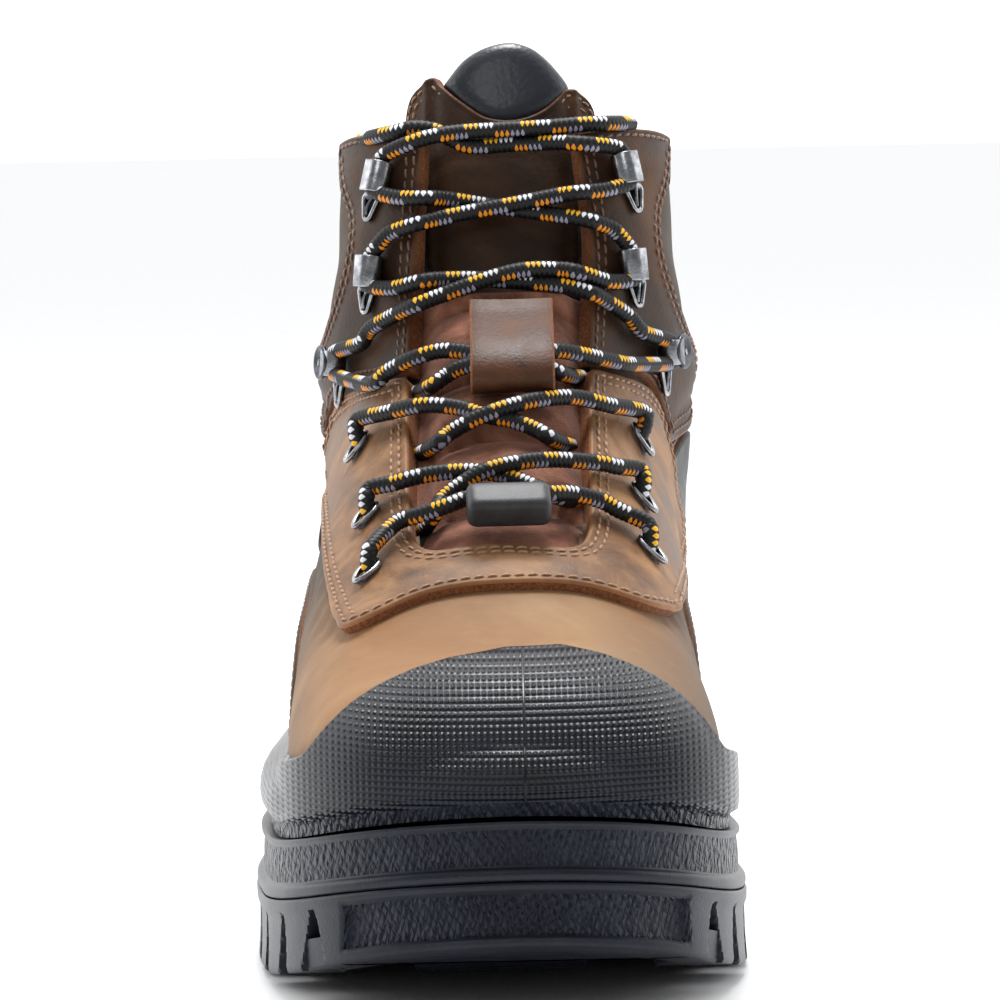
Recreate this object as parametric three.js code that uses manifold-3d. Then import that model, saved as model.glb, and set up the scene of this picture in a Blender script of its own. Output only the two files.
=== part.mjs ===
// Metatarsal guard boot for the right foot.
// Millimetres, +Z up, toe towards -Y, inner side of the foot towards +X.
import * as THREE from "three";
import { mergeVertices } from "three/addons/utils/BufferGeometryUtils.js";
import Module from "manifold-3d";

const wasm = await Module();
wasm.setup();
const { Manifold } = wasm;

// Main sizes of the boot
const bootLength = 306;
const soleWidth = 113.5;
const ballWidth = 99.6;
const instepHeight = 115.5;
const collarHeight = 190.5;
const collarDip = 12;
const footbedHeight = 28;
const heelRise = 10;
const toeSpring = 13.5;
const wall = 2.2;
const gap = 0.3;
const facetTolerance = 0.05;
const seamGap = 0.5;

// Sole layers, heights above the floor at the ball
const lugDepth = 7;
const lipHeight = 17.5;
const recessHeight = 27;
const ledgeHeight = 31.2;
const randHeight = 46.5;
const bumperThickness = 3.5;
const bumperTop = 78;

// Soft pieces
const flapThickness = 2.5;
const stayThickness = 2;
const counterThickness = 2;
const panelThickness = 1.2;
const insoleThickness = 9;
const paddingThickness = 6;
const guardThickness = 3.5;
const guardRibHeight = 1.2;
const tongueThickness = 2.8;
const tongueTopThickness = 7;
const keeperThickness = 1.8;
const keeperWidth = 20;

// Laces and metal
const laceDiameter = 4;
const tagSize = new THREE.Vector3(19.5, 7.2, 10);
const sheetThickness = 0.9;
const bandHeight = 7;
const wireDiameter = 1.5;

const colours = {
  rubber: 0x1b1d22,
  tread: 0x16181c,
  leather: 0x7d5a35,
  shaftLeather: 0x54402a,
  suede: 0x47281c,
  padding: 0x23262b,
  insole: 0x3a3a3c,
  metal: 0x55585c,
  lace: 0x1a1a1c,
};
const finish = {
  rubber: { color: colours.rubber, roughness: 0.5 },
  tread: { color: colours.tread, roughness: 0.6 },
  leather: { color: colours.leather, roughness: 0.7 },
  shaftLeather: { color: colours.shaftLeather, roughness: 0.7 },
  suede: { color: colours.suede, roughness: 0.95 },
  padding: { color: colours.padding, roughness: 0.6 },
  insole: { color: colours.insole, roughness: 0.95 },
  metal: { color: colours.metal, roughness: 0.3, metalness: 1 },
  lace: { color: colours.lace, roughness: 0.9 },
};

const boot = new THREE.Group();

function smooth(share) {
  const t = THREE.MathUtils.clamp(share, 0, 1);
  return t * t * (3 - 2 * t);
}

// How far the toe spring lifts the sole at a place along the boot
const springStart = -0.18 * bootLength;
function springLift(y) {
  const past = Math.max(springStart - y, 0) / (bootLength / 2 + springStart);
  return toeSpring * past * past;
}

// How far the heel lifts the footbed at a place along the boot
const riseStart = -0.065 * bootLength;
const riseEnd = 0.28 * bootLength;
function riseLift(y) {
  return heelRise * smooth((y - riseStart) / (riseEnd - riseStart));
}

function lift(y) {
  return springLift(y) + riseLift(y);
}

// A three.js geometry as a manifold solid, with its seams welded
function solidOf(geometry) {
  const bare = new THREE.BufferGeometry();
  bare.setAttribute("position", geometry.getAttribute("position"));
  bare.setIndex(geometry.getIndex());
  const welded = mergeVertices(bare, 1e-4);
  const mesh = new wasm.Mesh({
    numProp: 3,
    vertProperties: new Float32Array(welded.getAttribute("position").array),
    triVerts: new Uint32Array(welded.getIndex().array),
  });
  return new Manifold(mesh);
}

// Adds a solid to the boot as a named mesh
function addPiece(name, solid, look) {
  const mesh = solid.simplify(facetTolerance).getMesh();
  const geometry = new THREE.BufferGeometry();
  geometry.setAttribute("position", new THREE.BufferAttribute(new Float32Array(mesh.vertProperties), 3));
  geometry.setIndex(new THREE.BufferAttribute(new Uint32Array(mesh.triVerts), 1));
  geometry.computeVertexNormals();
  const piece = new THREE.Mesh(geometry, new THREE.MeshStandardMaterial(finish[look]));
  piece.name = name;
  boot.add(piece);
  return solid;
}

// A closed skin over equal rings of points. Point k and point n - k of a ring face each other,
// so the end caps are strips that run across the ring.
function skin(rings) {
  const n = rings[0].length;
  const triangles = [];
  for (let i = 0; i < rings.length - 1; i++) {
    for (let k = 0; k < n; k++) {
      const next = (k + 1) % n;
      const a = i * n + k;
      const b = i * n + next;
      triangles.push(a, b, b + n, a, b + n, a + n);
    }
  }
  const last = (rings.length - 1) * n;
  for (let k = 0; k < n / 2; k++) {
    const far = (n - k) % n;
    const corners = [k, k + 1, n - k - 1, far];
    if (k > 0) {
      triangles.push(corners[0], corners[3], corners[1]);
      triangles.push(last + corners[0], last + corners[1], last + corners[3]);
    }
    if (corners[1] !== corners[2]) {
      triangles.push(corners[1], corners[3], corners[2]);
      triangles.push(last + corners[1], last + corners[2], last + corners[3]);
    }
  }
  const positions = rings.flat().flatMap((p) => [p.x, p.y, p.z]);
  const geometry = new THREE.BufferGeometry();
  geometry.setAttribute("position", new THREE.BufferAttribute(new Float32Array(positions), 3));
  geometry.setIndex(triangles);
  let volume = 0;
  const corner = (i) => rings[Math.floor(triangles[i] / n)][triangles[i] % n];
  for (let i = 0; i < triangles.length; i += 3) {
    volume += corner(i).clone().cross(corner(i + 1)).dot(corner(i + 2));
  }
  if (volume < 0) {
    for (let i = 0; i < triangles.length; i += 3) {
      [triangles[i], triangles[i + 1]] = [triangles[i + 1], triangles[i]];
    }
    geometry.setIndex(triangles);
  }
  return solidOf(geometry);
}

// The form of the last: a fan of flat sections, upright in the forefoot and nearly level in the
// shaft. Each goes from a bottom or back point to a top or front point.
// frontAt, backAt: share of bootLength from the middle. frontUp: share of instepHeight up to 1,
// then of the way from there to collarHeight. backUp: share of collarHeight, or null on the
// footbed. lateral, medial: share of half the ballWidth. lean: share of ballWidth towards the
// inner side. waist: where along the section it is widest. low, top: squareness of its ends.
const sections = [
  // frontAt, frontUp, backAt, backUp, lateral, medial, lean, waist, low, top
  [-0.469, 0.502, -0.469, null, 0.26, 0.28, 0.05, 0.42, 3.0, 2.4],
  [-0.464, 0.537, -0.464, null, 0.46, 0.49, 0.046, 0.4, 3.5, 2.5],
  [-0.448, 0.58, -0.448, null, 0.64, 0.68, 0.042, 0.38, 4.0, 2.5],
  [-0.418, 0.619, -0.418, null, 0.79, 0.82, 0.038, 0.36, 4.5, 2.5],
  [-0.376, 0.649, -0.376, null, 0.9, 0.915, 0.032, 0.35, 5.0, 2.5],
  [-0.317, 0.675, -0.317, null, 0.965, 0.965, 0.026, 0.34, 5.0, 2.5],
  [-0.252, 0.723, -0.252, null, 0.995, 0.97, 0.022, 0.34, 5.0, 2.4],
  [-0.186, 0.797, -0.186, null, 1.0, 0.95, 0.02, 0.34, 5.0, 2.2],
  [-0.121, 0.896, -0.121, null, 0.99, 0.925, 0.02, 0.34, 5.0, 2.1],
  [-0.062, 1.0, -0.026, null, 0.975, 0.89, 0.022, 0.34, 4.5, 2.05],
  [-0.016, 1.147, 0.098, null, 0.96, 0.87, 0.026, 0.33, 3.8, 2.0],
  [0.02, 1.28, 0.235, null, 0.935, 0.875, 0.03, 0.32, 3.2, 2.0],
  [0.047, 1.407, 0.366, null, 0.89, 0.87, 0.034, 0.36, 3.0, 2.05],
  [0.067, 1.52, 0.458, 0.226, 0.868, 0.868, 0.038, 0.44, 2.8, 2.2],
  [0.085, 1.64, 0.482, 0.336, 0.89, 0.895, 0.041, 0.5, 2.6, 2.3],
  [0.098, 1.74, 0.48, 0.472, 0.895, 0.9, 0.043, 0.5, 2.5, 2.4],
  [0.109, 1.84, 0.461, 0.619, 0.843, 0.851, 0.045, 0.5, 2.4, 2.4],
  [0.119, 1.92, 0.449, 0.751, 0.831, 0.839, 0.046, 0.5, 2.4, 2.4],
  [0.127, 2.0, 0.453, 0.861, 0.815, 0.823, 0.048, 0.5, 2.4, 2.3],
  [0.134, 2.087, 0.461, 0.945, 0.795, 0.803, 0.05, 0.5, 2.4, 2.3],
  [0.142, 2.19, 0.463, 1.03, 0.785, 0.793, 0.052, 0.5, 2.4, 2.3],
  [0.15, 2.32, 0.464, 1.12, 0.775, 0.783, 0.054, 0.5, 2.4, 2.3],
];
const ringPoints = 24;

function frontHeight(share) {
  if (share <= 1) {
    return share * instepHeight;
  }
  return instepHeight + (share - 1) * (collarHeight - instepHeight);
}

// One ring of points round a section, starting at its bottom or back
function sectionRing(row) {
  const [frontAt, frontUp, backAt, backUp, lateral, medial, lean, waist, low, top] = row;
  const backY = backAt * bootLength;
  const backZ = backUp === null ? footbedHeight + lift(backY) : backUp * collarHeight;
  const frontY = frontAt * bootLength;
  const frontZ = frontHeight(frontUp);
  const points = [];
  for (let k = 0; k < ringPoints; k++) {
    const angle = (2 * Math.PI * k) / ringPoints;
    const cos = Math.cos(angle);
    const sin = Math.sin(angle);
    const power = cos > 0 ? low : top;
    const across = Math.sign(sin) * Math.abs(sin) ** (2 / power);
    const along = Math.abs(cos) ** (2 / power);
    const half = (sin > 0 ? medial : lateral) * ballWidth / 2;
    const share = cos > 0 ? waist * (1 - along) : waist + (1 - waist) * along;
    points.push(new THREE.Vector3(
      lean * ballWidth + across * half,
      backY + (frontY - backY) * share,
      backZ + (frontZ - backZ) * share,
    ));
  }
  return points;
}
const formRings = sections.map(sectionRing);

// The same rings, moved out by a distance along the surface
function offsetRings(distance) {
  return formRings.map((ring, i) => ring.map((point, k) => {
    const before = formRings[Math.max(i - 1, 0)][k];
    const after = formRings[Math.min(i + 1, formRings.length - 1)][k];
    const left = ring[(k + ringPoints - 1) % ringPoints];
    const right = ring[(k + 1) % ringPoints];
    const normal = after.clone().sub(before).cross(right.clone().sub(left)).normalize();
    return point.clone().addScaledVector(normal, distance);
  }));
}

const forms = new Map();
function form(distance) {
  if (!forms.has(distance)) {
    forms.set(distance, skin(offsetRings(distance)));
  }
  return forms.get(distance);
}

// The layer between two distances from the form
function layer(inner, outer) {
  return form(outer).subtract(form(inner));
}

// The front surface of the form, moved out by a distance, at a place seen from the front
function onFront(x, z, distance) {
  const rings = offsetRings(distance);
  const ray = new THREE.Ray(new THREE.Vector3(x, -bootLength, z), new THREE.Vector3(0, 1, 0));
  const hit = new THREE.Vector3();
  let nearest = null;
  for (let i = 0; i < rings.length - 1; i++) {
    for (let k = 0; k < ringPoints; k++) {
      const next = (k + 1) % ringPoints;
      const corners = [rings[i][k], rings[i][next], rings[i + 1][next], rings[i + 1][k]];
      for (const [a, b, c] of [[0, 1, 2], [0, 2, 3]]) {
        const found = ray.intersectTriangle(corners[a], corners[b], corners[c], false, hit);
        if (found && (nearest === null || hit.y < nearest.y)) {
          nearest = hit.clone();
        }
      }
    }
  }
  return nearest ?? new THREE.Vector3(x, 0, z);
}

// The way out of the front surface at such a place
function outOfFront(x, z) {
  const step = 2;
  const across = onFront(x + step, z, 0).sub(onFront(x - step, z, 0));
  const up = onFront(x, z + step, 0).sub(onFront(x, z - step, 0));
  return across.cross(up).normalize();
}

// A flat shape through corner points, with the corners rounded
function roundedShape(corners, radius) {
  const shape = new THREE.Shape();
  corners.forEach((corner, i) => {
    const before = corners[(i + corners.length - 1) % corners.length];
    const after = corners[(i + 1) % corners.length];
    const back = before.clone().sub(corner);
    const ahead = after.clone().sub(corner);
    const start = corner.clone().addScaledVector(back, Math.min(radius / back.length(), 0.45));
    const end = corner.clone().addScaledVector(ahead, Math.min(radius / ahead.length(), 0.45));
    if (i === 0) {
      shape.moveTo(start.x, start.y);
    } else {
      shape.lineTo(start.x, start.y);
    }
    shape.quadraticCurveTo(corner.x, corner.y, end.x, end.y);
  });
  return shape;
}

// Height of a pattern point. Its share is of collarHeight in the boot as drawn. Up to the instep the
// points keep to instepHeight, and above it to the rest of the way to collarHeight.
const instepShare = 115.5 / 190.5;
function patternHeight(share) {
  if (share <= instepShare) {
    return (share / instepShare) * instepHeight;
  }
  const past = (share - instepShare) / (1 - instepShare);
  return instepHeight + past * (collarHeight - instepHeight);
}

// Tables of patterns. Front: share of half the ballWidth across, share of the height up.
// Side: share of bootLength from the middle, share of the height up.
function frontCorners(rows) {
  return rows.map(([across, up]) => new THREE.Vector2(across * ballWidth / 2, patternHeight(up)));
}
function sideCorners(rows) {
  return rows.map(([along, up]) => new THREE.Vector2(along * bootLength, patternHeight(up)));
}

const frontDepthEnd = 0.25 * bootLength;
const reachBelow = 0.1 * bootLength;
const curveSteps = 2;

// A prism that cuts the front of the boot, from a shape seen from the front
function frontPrism(shape, grow = 0) {
  const depth = bootLength / 2 + frontDepthEnd + grow;
  const geometry = new THREE.ExtrudeGeometry(shape, { depth, bevelEnabled: false, curveSegments: curveSteps });
  geometry.rotateX(Math.PI / 2);
  geometry.translate(0, frontDepthEnd + grow, 0);
  return solidOf(geometry);
}

// A prism from a shape seen from the side, between two distances across
function sidePrism(shape, fromX, toX) {
  const settings = { depth: toX - fromX, bevelEnabled: false, curveSegments: curveSteps };
  const geometry = new THREE.ExtrudeGeometry(shape, settings);
  geometry.applyMatrix4(new THREE.Matrix4().makeBasis(
    new THREE.Vector3(0, 1, 0),
    new THREE.Vector3(0, 0, 1),
    new THREE.Vector3(1, 0, 0),
  ));
  geometry.translate(fromX, 0, 0);
  return solidOf(geometry);
}

// Everything below a height that follows the lift of the sole
function below(height) {
  const corners = [new THREE.Vector2(-bootLength, -reachBelow), new THREE.Vector2(bootLength, -reachBelow)];
  const steps = 36;
  for (let i = steps; i >= 0; i--) {
    const y = (i / steps - 0.5) * bootLength * 1.1;
    corners.push(new THREE.Vector2(y, height + lift(y)));
  }
  return sidePrism(new THREE.Shape(corners), -soleWidth, soleWidth);
}

// Everything under the collar's edge, moved up by a distance
const collarDipStart = 0.15 * bootLength;
const collarDipEnd = 0.42 * bootLength;
const collarEdge = collarHeight - 3;
function underCollar(raise) {
  const corners = [new THREE.Vector2(-bootLength, -reachBelow), new THREE.Vector2(bootLength, -reachBelow)];
  const steps = 16;
  for (let i = steps; i >= 0; i--) {
    const y = THREE.MathUtils.lerp(0, 0.55 * bootLength, i / steps);
    const drop = collarDip * smooth((y - collarDipStart) / (collarDipEnd - collarDipStart));
    corners.push(new THREE.Vector2(y, collarEdge - drop + raise));
  }
  corners.push(new THREE.Vector2(-bootLength, collarEdge + raise));
  return sidePrism(new THREE.Shape(corners), -soleWidth, soleWidth);
}

// Throat opening, seen from the front
const throat = [
  // across, up
  [-0.3, 1.25],
  [-0.29, 0.96],
  [-0.325, 0.835],
  [-0.365, 0.66],
  [-0.37, 0.55],
  [-0.29, 0.5],
  [0.034, 0.483],
  [0.36, 0.498],
  [0.445, 0.55],
  [0.45, 0.66],
  [0.488, 0.835],
  [0.44, 0.96],
  [0.45, 1.25],
];
const throatPrism = frontPrism(roundedShape(frontCorners(throat), 7));

// Upper: one hollow wall, open at the collar, the throat and underneath
const wallFoot = footbedHeight + 6;
const upper = layer(-wall, 0)
  .subtract(below(wallFoot))
  .intersect(underCollar(0))
  .subtract(throatPrism);
addPiece("upper", upper, "leather");

// Insole: a board in the opening of the upper, and the footbed on it inside the wall
const board = form(0).intersect(below(wallFoot - gap));
const footbed = form(-wall - 2 * gap).intersect(below(footbedHeight + insoleThickness));
addPiece("insole", board.add(footbed), "insole");

// Collar padding: a soft band inside the back of the collar
const paddingFront = 0.245 * bootLength;
const paddingDepth = 32;
const paddingRegion = underCollar(1.5)
  .subtract(underCollar(-paddingDepth))
  .intersect(sidePrism(new THREE.Shape([
    new THREE.Vector2(paddingFront, 0),
    new THREE.Vector2(bootLength, 0),
    new THREE.Vector2(bootLength, 2 * collarHeight),
    new THREE.Vector2(paddingFront + 0.03 * bootLength, 2 * collarHeight),
  ]), -soleWidth, soleWidth));
const padding = layer(-wall - gap - paddingThickness, -wall - gap).intersect(paddingRegion);
addPiece("collar_padding", padding, "padding");

// Metatarsal guard: a pad behind the throat, with cross ribs that swell into the opening
const guardOuter = -wall - gap;
const guardInner = guardOuter - guardThickness;
const guardPattern = [
  // across, up
  [-0.52, 0.46],
  [-0.56, 0.58],
  [-0.54, 0.69],
  [-0.46, 0.765],
  [0.1, 0.785],
  [0.56, 0.765],
  [0.64, 0.69],
  [0.64, 0.58],
  [0.58, 0.46],
];
// Each rib: lower and upper edge, then how far it stays inside the throat at either side
const guardRibs = [
  // low, high, left, right
  [0.498, 0.527, -0.3, 0.37],
  [0.534, 0.6, -0.335, 0.41],
  [0.608, 0.668, -0.335, 0.41],
  [0.676, 0.772, -0.32, 0.42],
];
const ribArch = 0.016;
const throatMiddle = 0.06;
const throatInside = frontPrism(roundedShape(frontCorners(
  throat.map(([across, up]) => [throatMiddle + (across - throatMiddle) * 0.955, up + 0.006]),
), 7));
let guard = layer(guardInner, guardOuter).intersect(frontPrism(roundedShape(frontCorners(guardPattern), 8)));
for (const [low, high, left, right] of guardRibs) {
  const middle = (left + right) / 2;
  const rib = roundedShape(frontCorners([
    [left, low],
    [middle, low + ribArch],
    [right, low],
    [right, high - ribArch],
    [middle, high],
    [left, high - ribArch],
  ]), 2.5);
  guard = guard.add(layer(guardInner + 1, guardRibHeight).intersect(frontPrism(rib)).intersect(throatInside));
}
addPiece("metatarsal_guard", guard, "suede");

// Tongue and its padded top
const tongueOuter = guardInner - gap;
const tonguePattern = [
  // across, up
  [-0.35, 0.52],
  [-0.42, 0.63],
  [-0.43, 0.79],
  [-0.47, 0.92],
  [-0.47, 0.985],
  [-0.39, 1.03],
  [-0.3, 1.057],
  [-0.13, 1.034],
  [0.08, 1.013],
  [0.29, 1.021],
  [0.45, 1.038],
  [0.53, 1.047],
  [0.6, 1.02],
  [0.61, 0.985],
  [0.585, 0.92],
  [0.54, 0.79],
  [0.48, 0.63],
  [0.42, 0.52],
];
const tongue = layer(tongueOuter - tongueThickness, tongueOuter)
  .intersect(frontPrism(roundedShape(frontCorners(tonguePattern), 2)));
addPiece("tongue", tongue, "shaftLeather");

const tongueTopPattern = [
  // across, up
  [-0.285, 1.062],
  [-0.16, 1.083],
  [-0.05, 1.096],
  [0.15, 1.106],
  [0.29, 1.096],
  [0.4, 1.078],
  [0.51, 1.05],
  [0.45, 1.041],
  [0.29, 1.024],
  [0.08, 1.016],
  [-0.13, 1.037],
];
const tongueTopOuter = tongueOuter + 0.6;
const tongueTop = layer(tongueTopOuter - tongueTopThickness, tongueTopOuter)
  .intersect(frontPrism(roundedShape(frontCorners(tongueTopPattern), 2)));
addPiece("tongue_top", tongueTop, "padding");

// Lace flap: the thick overlay round the lower throat
const flapPattern = [
  // across, up
  [-0.42, 0.672],
  [-0.7, 0.64],
  [-0.775, 0.57],
  [-0.775, 0.49],
  [-0.74, 0.43],
  [-0.68, 0.402],
  [-0.3, 0.442],
  [0.076, 0.452],
  [0.44, 0.444],
  [0.84, 0.405],
  [0.91, 0.43],
  [0.89, 0.5],
  [0.83, 0.585],
  [0.74, 0.65],
  [0.48, 0.68],
];
const flapOuter = gap + flapThickness;
const flapShape = roundedShape(frontCorners(flapPattern), 5);
const flap = layer(gap, flapOuter).intersect(frontPrism(flapShape)).subtract(throatPrism);
addPiece("lace_flap", flap, "leather");

// Hook stays, cut back to leave the flap clear
const stayPattern = [
  // along, up
  [0.0, 0.6],
  [0.0, 1.2],
  [0.24, 1.2],
  [0.235, 1.0],
  [0.215, 0.93],
  [0.165, 0.84],
  [0.18, 0.775],
  [0.22, 0.72],
  [0.265, 0.69],
  [0.285, 0.64],
  [0.27, 0.592],
  [0.2, 0.576],
  [0.1, 0.57],
];
const stayOuter = gap + stayThickness;
const clearOfFlap = frontPrism(roundedShape(frontCorners(
  flapPattern.map(([across, up]) => [0.06 + (across - 0.06) * 1.008, 0.55 + (up - 0.55) * 1.012]),
), 5), 0);
const sides = { lateral: [-soleWidth, 0], medial: [0, soleWidth] };
const stayShape = roundedShape(sideCorners(stayPattern), 6);
for (const [side, [fromX, toX]] of Object.entries(sides)) {
  const stay = layer(gap, stayOuter)
    .intersect(sidePrism(stayShape, fromX, toX))
    .intersect(underCollar(0))
    .subtract(clearOfFlap)
    .subtract(throatPrism);
  addPiece(`hook_stay_${side}`, stay, "shaftLeather");
}

// Heel counter
const counterPattern = [
  // along, up
  [0.3, 0.2],
  [0.31, 0.35],
  [0.345, 0.45],
  [0.4, 0.535],
  [0.44, 0.58],
  [0.6, 0.6],
  [0.6, 0.2],
];
const counterShape = roundedShape(sideCorners(counterPattern), 6);
const counter = layer(gap, gap + counterThickness)
  .intersect(sidePrism(counterShape, -soleWidth, soleWidth))
  .subtract(below(randHeight + gap));
addPiece("heel_counter", counter, "shaftLeather");

// Ankle panels, below the stays
const panelPattern = [
  // along, up
  [0.14, 0.548],
  [0.2, 0.56],
  [0.265, 0.578],
  [0.315, 0.56],
  [0.325, 0.52],
  [0.29, 0.455],
  [0.22, 0.43],
  [0.15, 0.46],
];
const panelShape = roundedShape(sideCorners(panelPattern), 4);
for (const [side, [fromX, toX]] of Object.entries(sides)) {
  const panel = layer(gap, gap + panelThickness)
    .intersect(sidePrism(panelShape, fromX, toX))
    .subtract(clearOfFlap);
  addPiece(`ankle_panel_${side}`, panel, "padding");
}

// Outline of the sole: shares of bootLength from the toe, and of half the soleWidth
const outlineTip = 0.09;
const outlineHeel = 0.045;
const outline = [
  // along, lateral, medial
  [0.018, 0.34, 0.5],
  [0.055, 0.61, 0.735],
  [0.115, 0.8, 0.885],
  [0.19, 0.915, 0.97],
  [0.27, 0.97, 1.0],
  [0.36, 1.0, 0.96],
  [0.45, 0.975, 0.88],
  [0.55, 0.915, 0.81],
  [0.65, 0.85, 0.79],
  [0.75, 0.79, 0.795],
  [0.85, 0.745, 0.79],
  [0.92, 0.66, 0.73],
  [0.97, 0.44, 0.51],
];

function outlinePoints(count) {
  const half = soleWidth / 2;
  const at = (share) => (share - 0.5) * bootLength;
  const points = [new THREE.Vector3(outlineTip * half, at(0), 0)];
  outline.forEach(([along, , medial]) => points.push(new THREE.Vector3(medial * half, at(along), 0)));
  points.push(new THREE.Vector3(outlineHeel * half, at(1), 0));
  [...outline].reverse().forEach(([along, lateral]) => {
    points.push(new THREE.Vector3(-lateral * half, at(along), 0));
  });
  const curve = new THREE.CatmullRomCurve3(points, true, "centripetal");
  const perSpan = count / points.length;
  return Array.from({ length: count }, (_, i) => curve.getPoint(i / perSpan / points.length));
}
const outlineCount = 40;
const soleLine = outlinePoints(outlineCount);

// The outline moved in by an inset, at a height that follows the lift
function soleRing(height, inset) {
  return soleLine.map((point, i) => {
    const before = soleLine[(i + outlineCount - 1) % outlineCount];
    const after = soleLine[(i + 1) % outlineCount];
    const along = after.clone().sub(before).normalize();
    const y = point.y + along.x * inset;
    return new THREE.Vector3(point.x - along.y * inset, y, height + lift(y));
  });
}

// Levels of the sole's side: height at the ball, inset from the outline
const midsoleSide = [
  // height, inset
  [lipHeight + seamGap, 1.2],
  [22, 0.9],
  [recessHeight, 1.3],
  [recessHeight + 1, 3.0],
  [ledgeHeight, 3.0],
];
const randSide = [
  // height, inset
  [ledgeHeight + gap, 2.2],
  [34, 1.7],
  [38, 2.0],
  [42, 3.2],
  [45, 5.2],
  [randHeight, 8.5],
];
const midsole = skin(midsoleSide.map(([height, inset]) => soleRing(height, inset))).subtract(form(gap));
addPiece("midsole", midsole, "rubber");

// Rubber rand, which rises at the toe into the bumper
const bumperProfile = new THREE.Shape([
  new THREE.Vector2(-bootLength, ledgeHeight),
  new THREE.Vector2(-0.2 * bootLength, ledgeHeight),
  new THREE.Vector2(-0.36 * bootLength, bumperTop + 1),
  new THREE.Vector2(-bootLength, 2 * bumperTop),
]);
const bumper = form(bumperThickness + gap)
  .intersect(sidePrism(bumperProfile, -soleWidth, soleWidth))
  .subtract(below(ledgeHeight + gap));
const rand = skin(randSide.map(([height, inset]) => soleRing(height, inset)))
  .add(bumper)
  .subtract(form(gap));
addPiece("rubber_rand", rand, "rubber");

// Outsole: a slab with a lip, lugs and a heel block, drawn flat and then bent
const slabSide = [
  // height, inset
  [lugDepth, 1.0],
  [13.5, 0.8],
  [14.5, 0.2],
  [lipHeight, 0.2],
];
function flatRing(height, inset) {
  return soleRing(height, inset).map((point) => new THREE.Vector3(point.x, point.y, height));
}
function bend(solid) {
  return solid.warp((vertex) => {
    const share = THREE.MathUtils.clamp(vertex[2] / lugDepth, 0, 1);
    vertex[2] += springLift(vertex[1]) + riseLift(vertex[1]) * share;
  });
}
const slab = skin(slabSide.map(([height, inset]) => flatRing(height, inset)));
const heelBreast = 0.19 * bootLength;
const treadInset = 2;
const treadLine = skin([flatRing(0, treadInset), flatRing(lugDepth + 1, treadInset)]);
const sideLine = skin([flatRing(0, 0.2), flatRing(lugDepth + 1, 0.2)]);

// A block of tread between two places along and across, cut by an outline
function lug(fromX, toX, fromY, toY, slant) {
  const shape = new THREE.Shape([
    new THREE.Vector2(fromX, fromY),
    new THREE.Vector2(toX, fromY + slant),
    new THREE.Vector2(toX, toY + slant),
    new THREE.Vector2(fromX, toY),
  ]);
  return solidOf(new THREE.ExtrudeGeometry(shape, { depth: lugDepth + 1, bevelEnabled: false }));
}

// Rows of side lugs: pitch and width are shares of bootLength
const sideLugPitch = 0.072 * bootLength;
const sideLugLength = 0.048 * bootLength;
const sideLugReach = 0.3 * soleWidth;
const centreLugReach = 0.17 * soleWidth;
const forefootEnd = 0.085 * bootLength;
const sideLugStart = -0.4 * bootLength;
let blocks = [];
for (let y = sideLugStart; y + sideLugLength < forefootEnd; y += sideLugPitch) {
  const slant = 0.02 * bootLength;
  blocks.push(lug(-soleWidth, -sideLugReach, y - slant, y - slant + sideLugLength, slant));
  blocks.push(lug(sideLugReach, soleWidth, y, y + sideLugLength, -slant));
  const centreY = y + 0.4 * sideLugPitch;
  blocks.push(lug(-centreLugReach, centreLugReach, centreY, centreY + 0.8 * sideLugLength, 0));
}
const sideLugs = Manifold.union(blocks).intersect(sideLine);

// Wide toe lug, and the ladder of the heel
const toeLugEnd = -0.435 * bootLength;
const toeLugHalf = 0.37 * soleWidth;
const toeLug = lug(-toeLugHalf + 3, toeLugHalf + 3, -bootLength / 2, toeLugEnd, 0).intersect(sideLine);
const heelRimWidth = 0.15 * soleWidth;
const breastBar = 0.046 * bootLength;
const heelRim = treadLine
  .intersect(lug(-soleWidth, soleWidth, heelBreast, bootLength, 0))
  .subtract(skin([flatRing(-1, heelRimWidth), flatRing(lugDepth + 2, heelRimWidth)])
    .intersect(lug(-soleWidth, soleWidth, heelBreast + breastBar, bootLength, 0)));
const heelNotches = [];
const heelNotchPitch = 0.07 * bootLength;
for (let y = heelBreast + 0.04 * bootLength; y < 0.43 * bootLength; y += heelNotchPitch) {
  heelNotches.push(lug(-soleWidth, -0.25 * soleWidth, y, y + 5, 0));
  heelNotches.push(lug(0.25 * soleWidth, soleWidth, y, y + 5, 0));
}
const heelBars = [0.255, 0.3, 0.345, 0.39].map((at) => (
  lug(-0.2 * soleWidth, 0.22 * soleWidth, at * bootLength, (at + 0.028) * bootLength, 0)
));
const notchDepth = 5;
const notches = Manifold.union(heelNotches).translate(0, 0, notchDepth - lugDepth - 1);
const heelBlock = Manifold.union([heelRim.subtract(notches), ...heelBars]);
const outsole = bend(Manifold.union([slab, sideLugs, toeLug, heelBlock]).refineToLength(45));
addPiece("outsole", outsole, "tread");

// A frame on the front of the boot: x across, y up the surface, z out of it
function placeOnFront(geometry, x, z, distance, turn = 0) {
  const out = outOfFront(x, z);
  const across = new THREE.Vector3(0, 0, 1).cross(out).negate().normalize();
  const up = out.clone().cross(across);
  geometry.rotateZ(turn);
  geometry.applyMatrix4(new THREE.Matrix4().makeBasis(across, up, out));
  const foot = onFront(x, z, 0).addScaledVector(out, distance);
  geometry.translate(foot.x, foot.y, foot.z);
  return solidOf(geometry);
}

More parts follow.
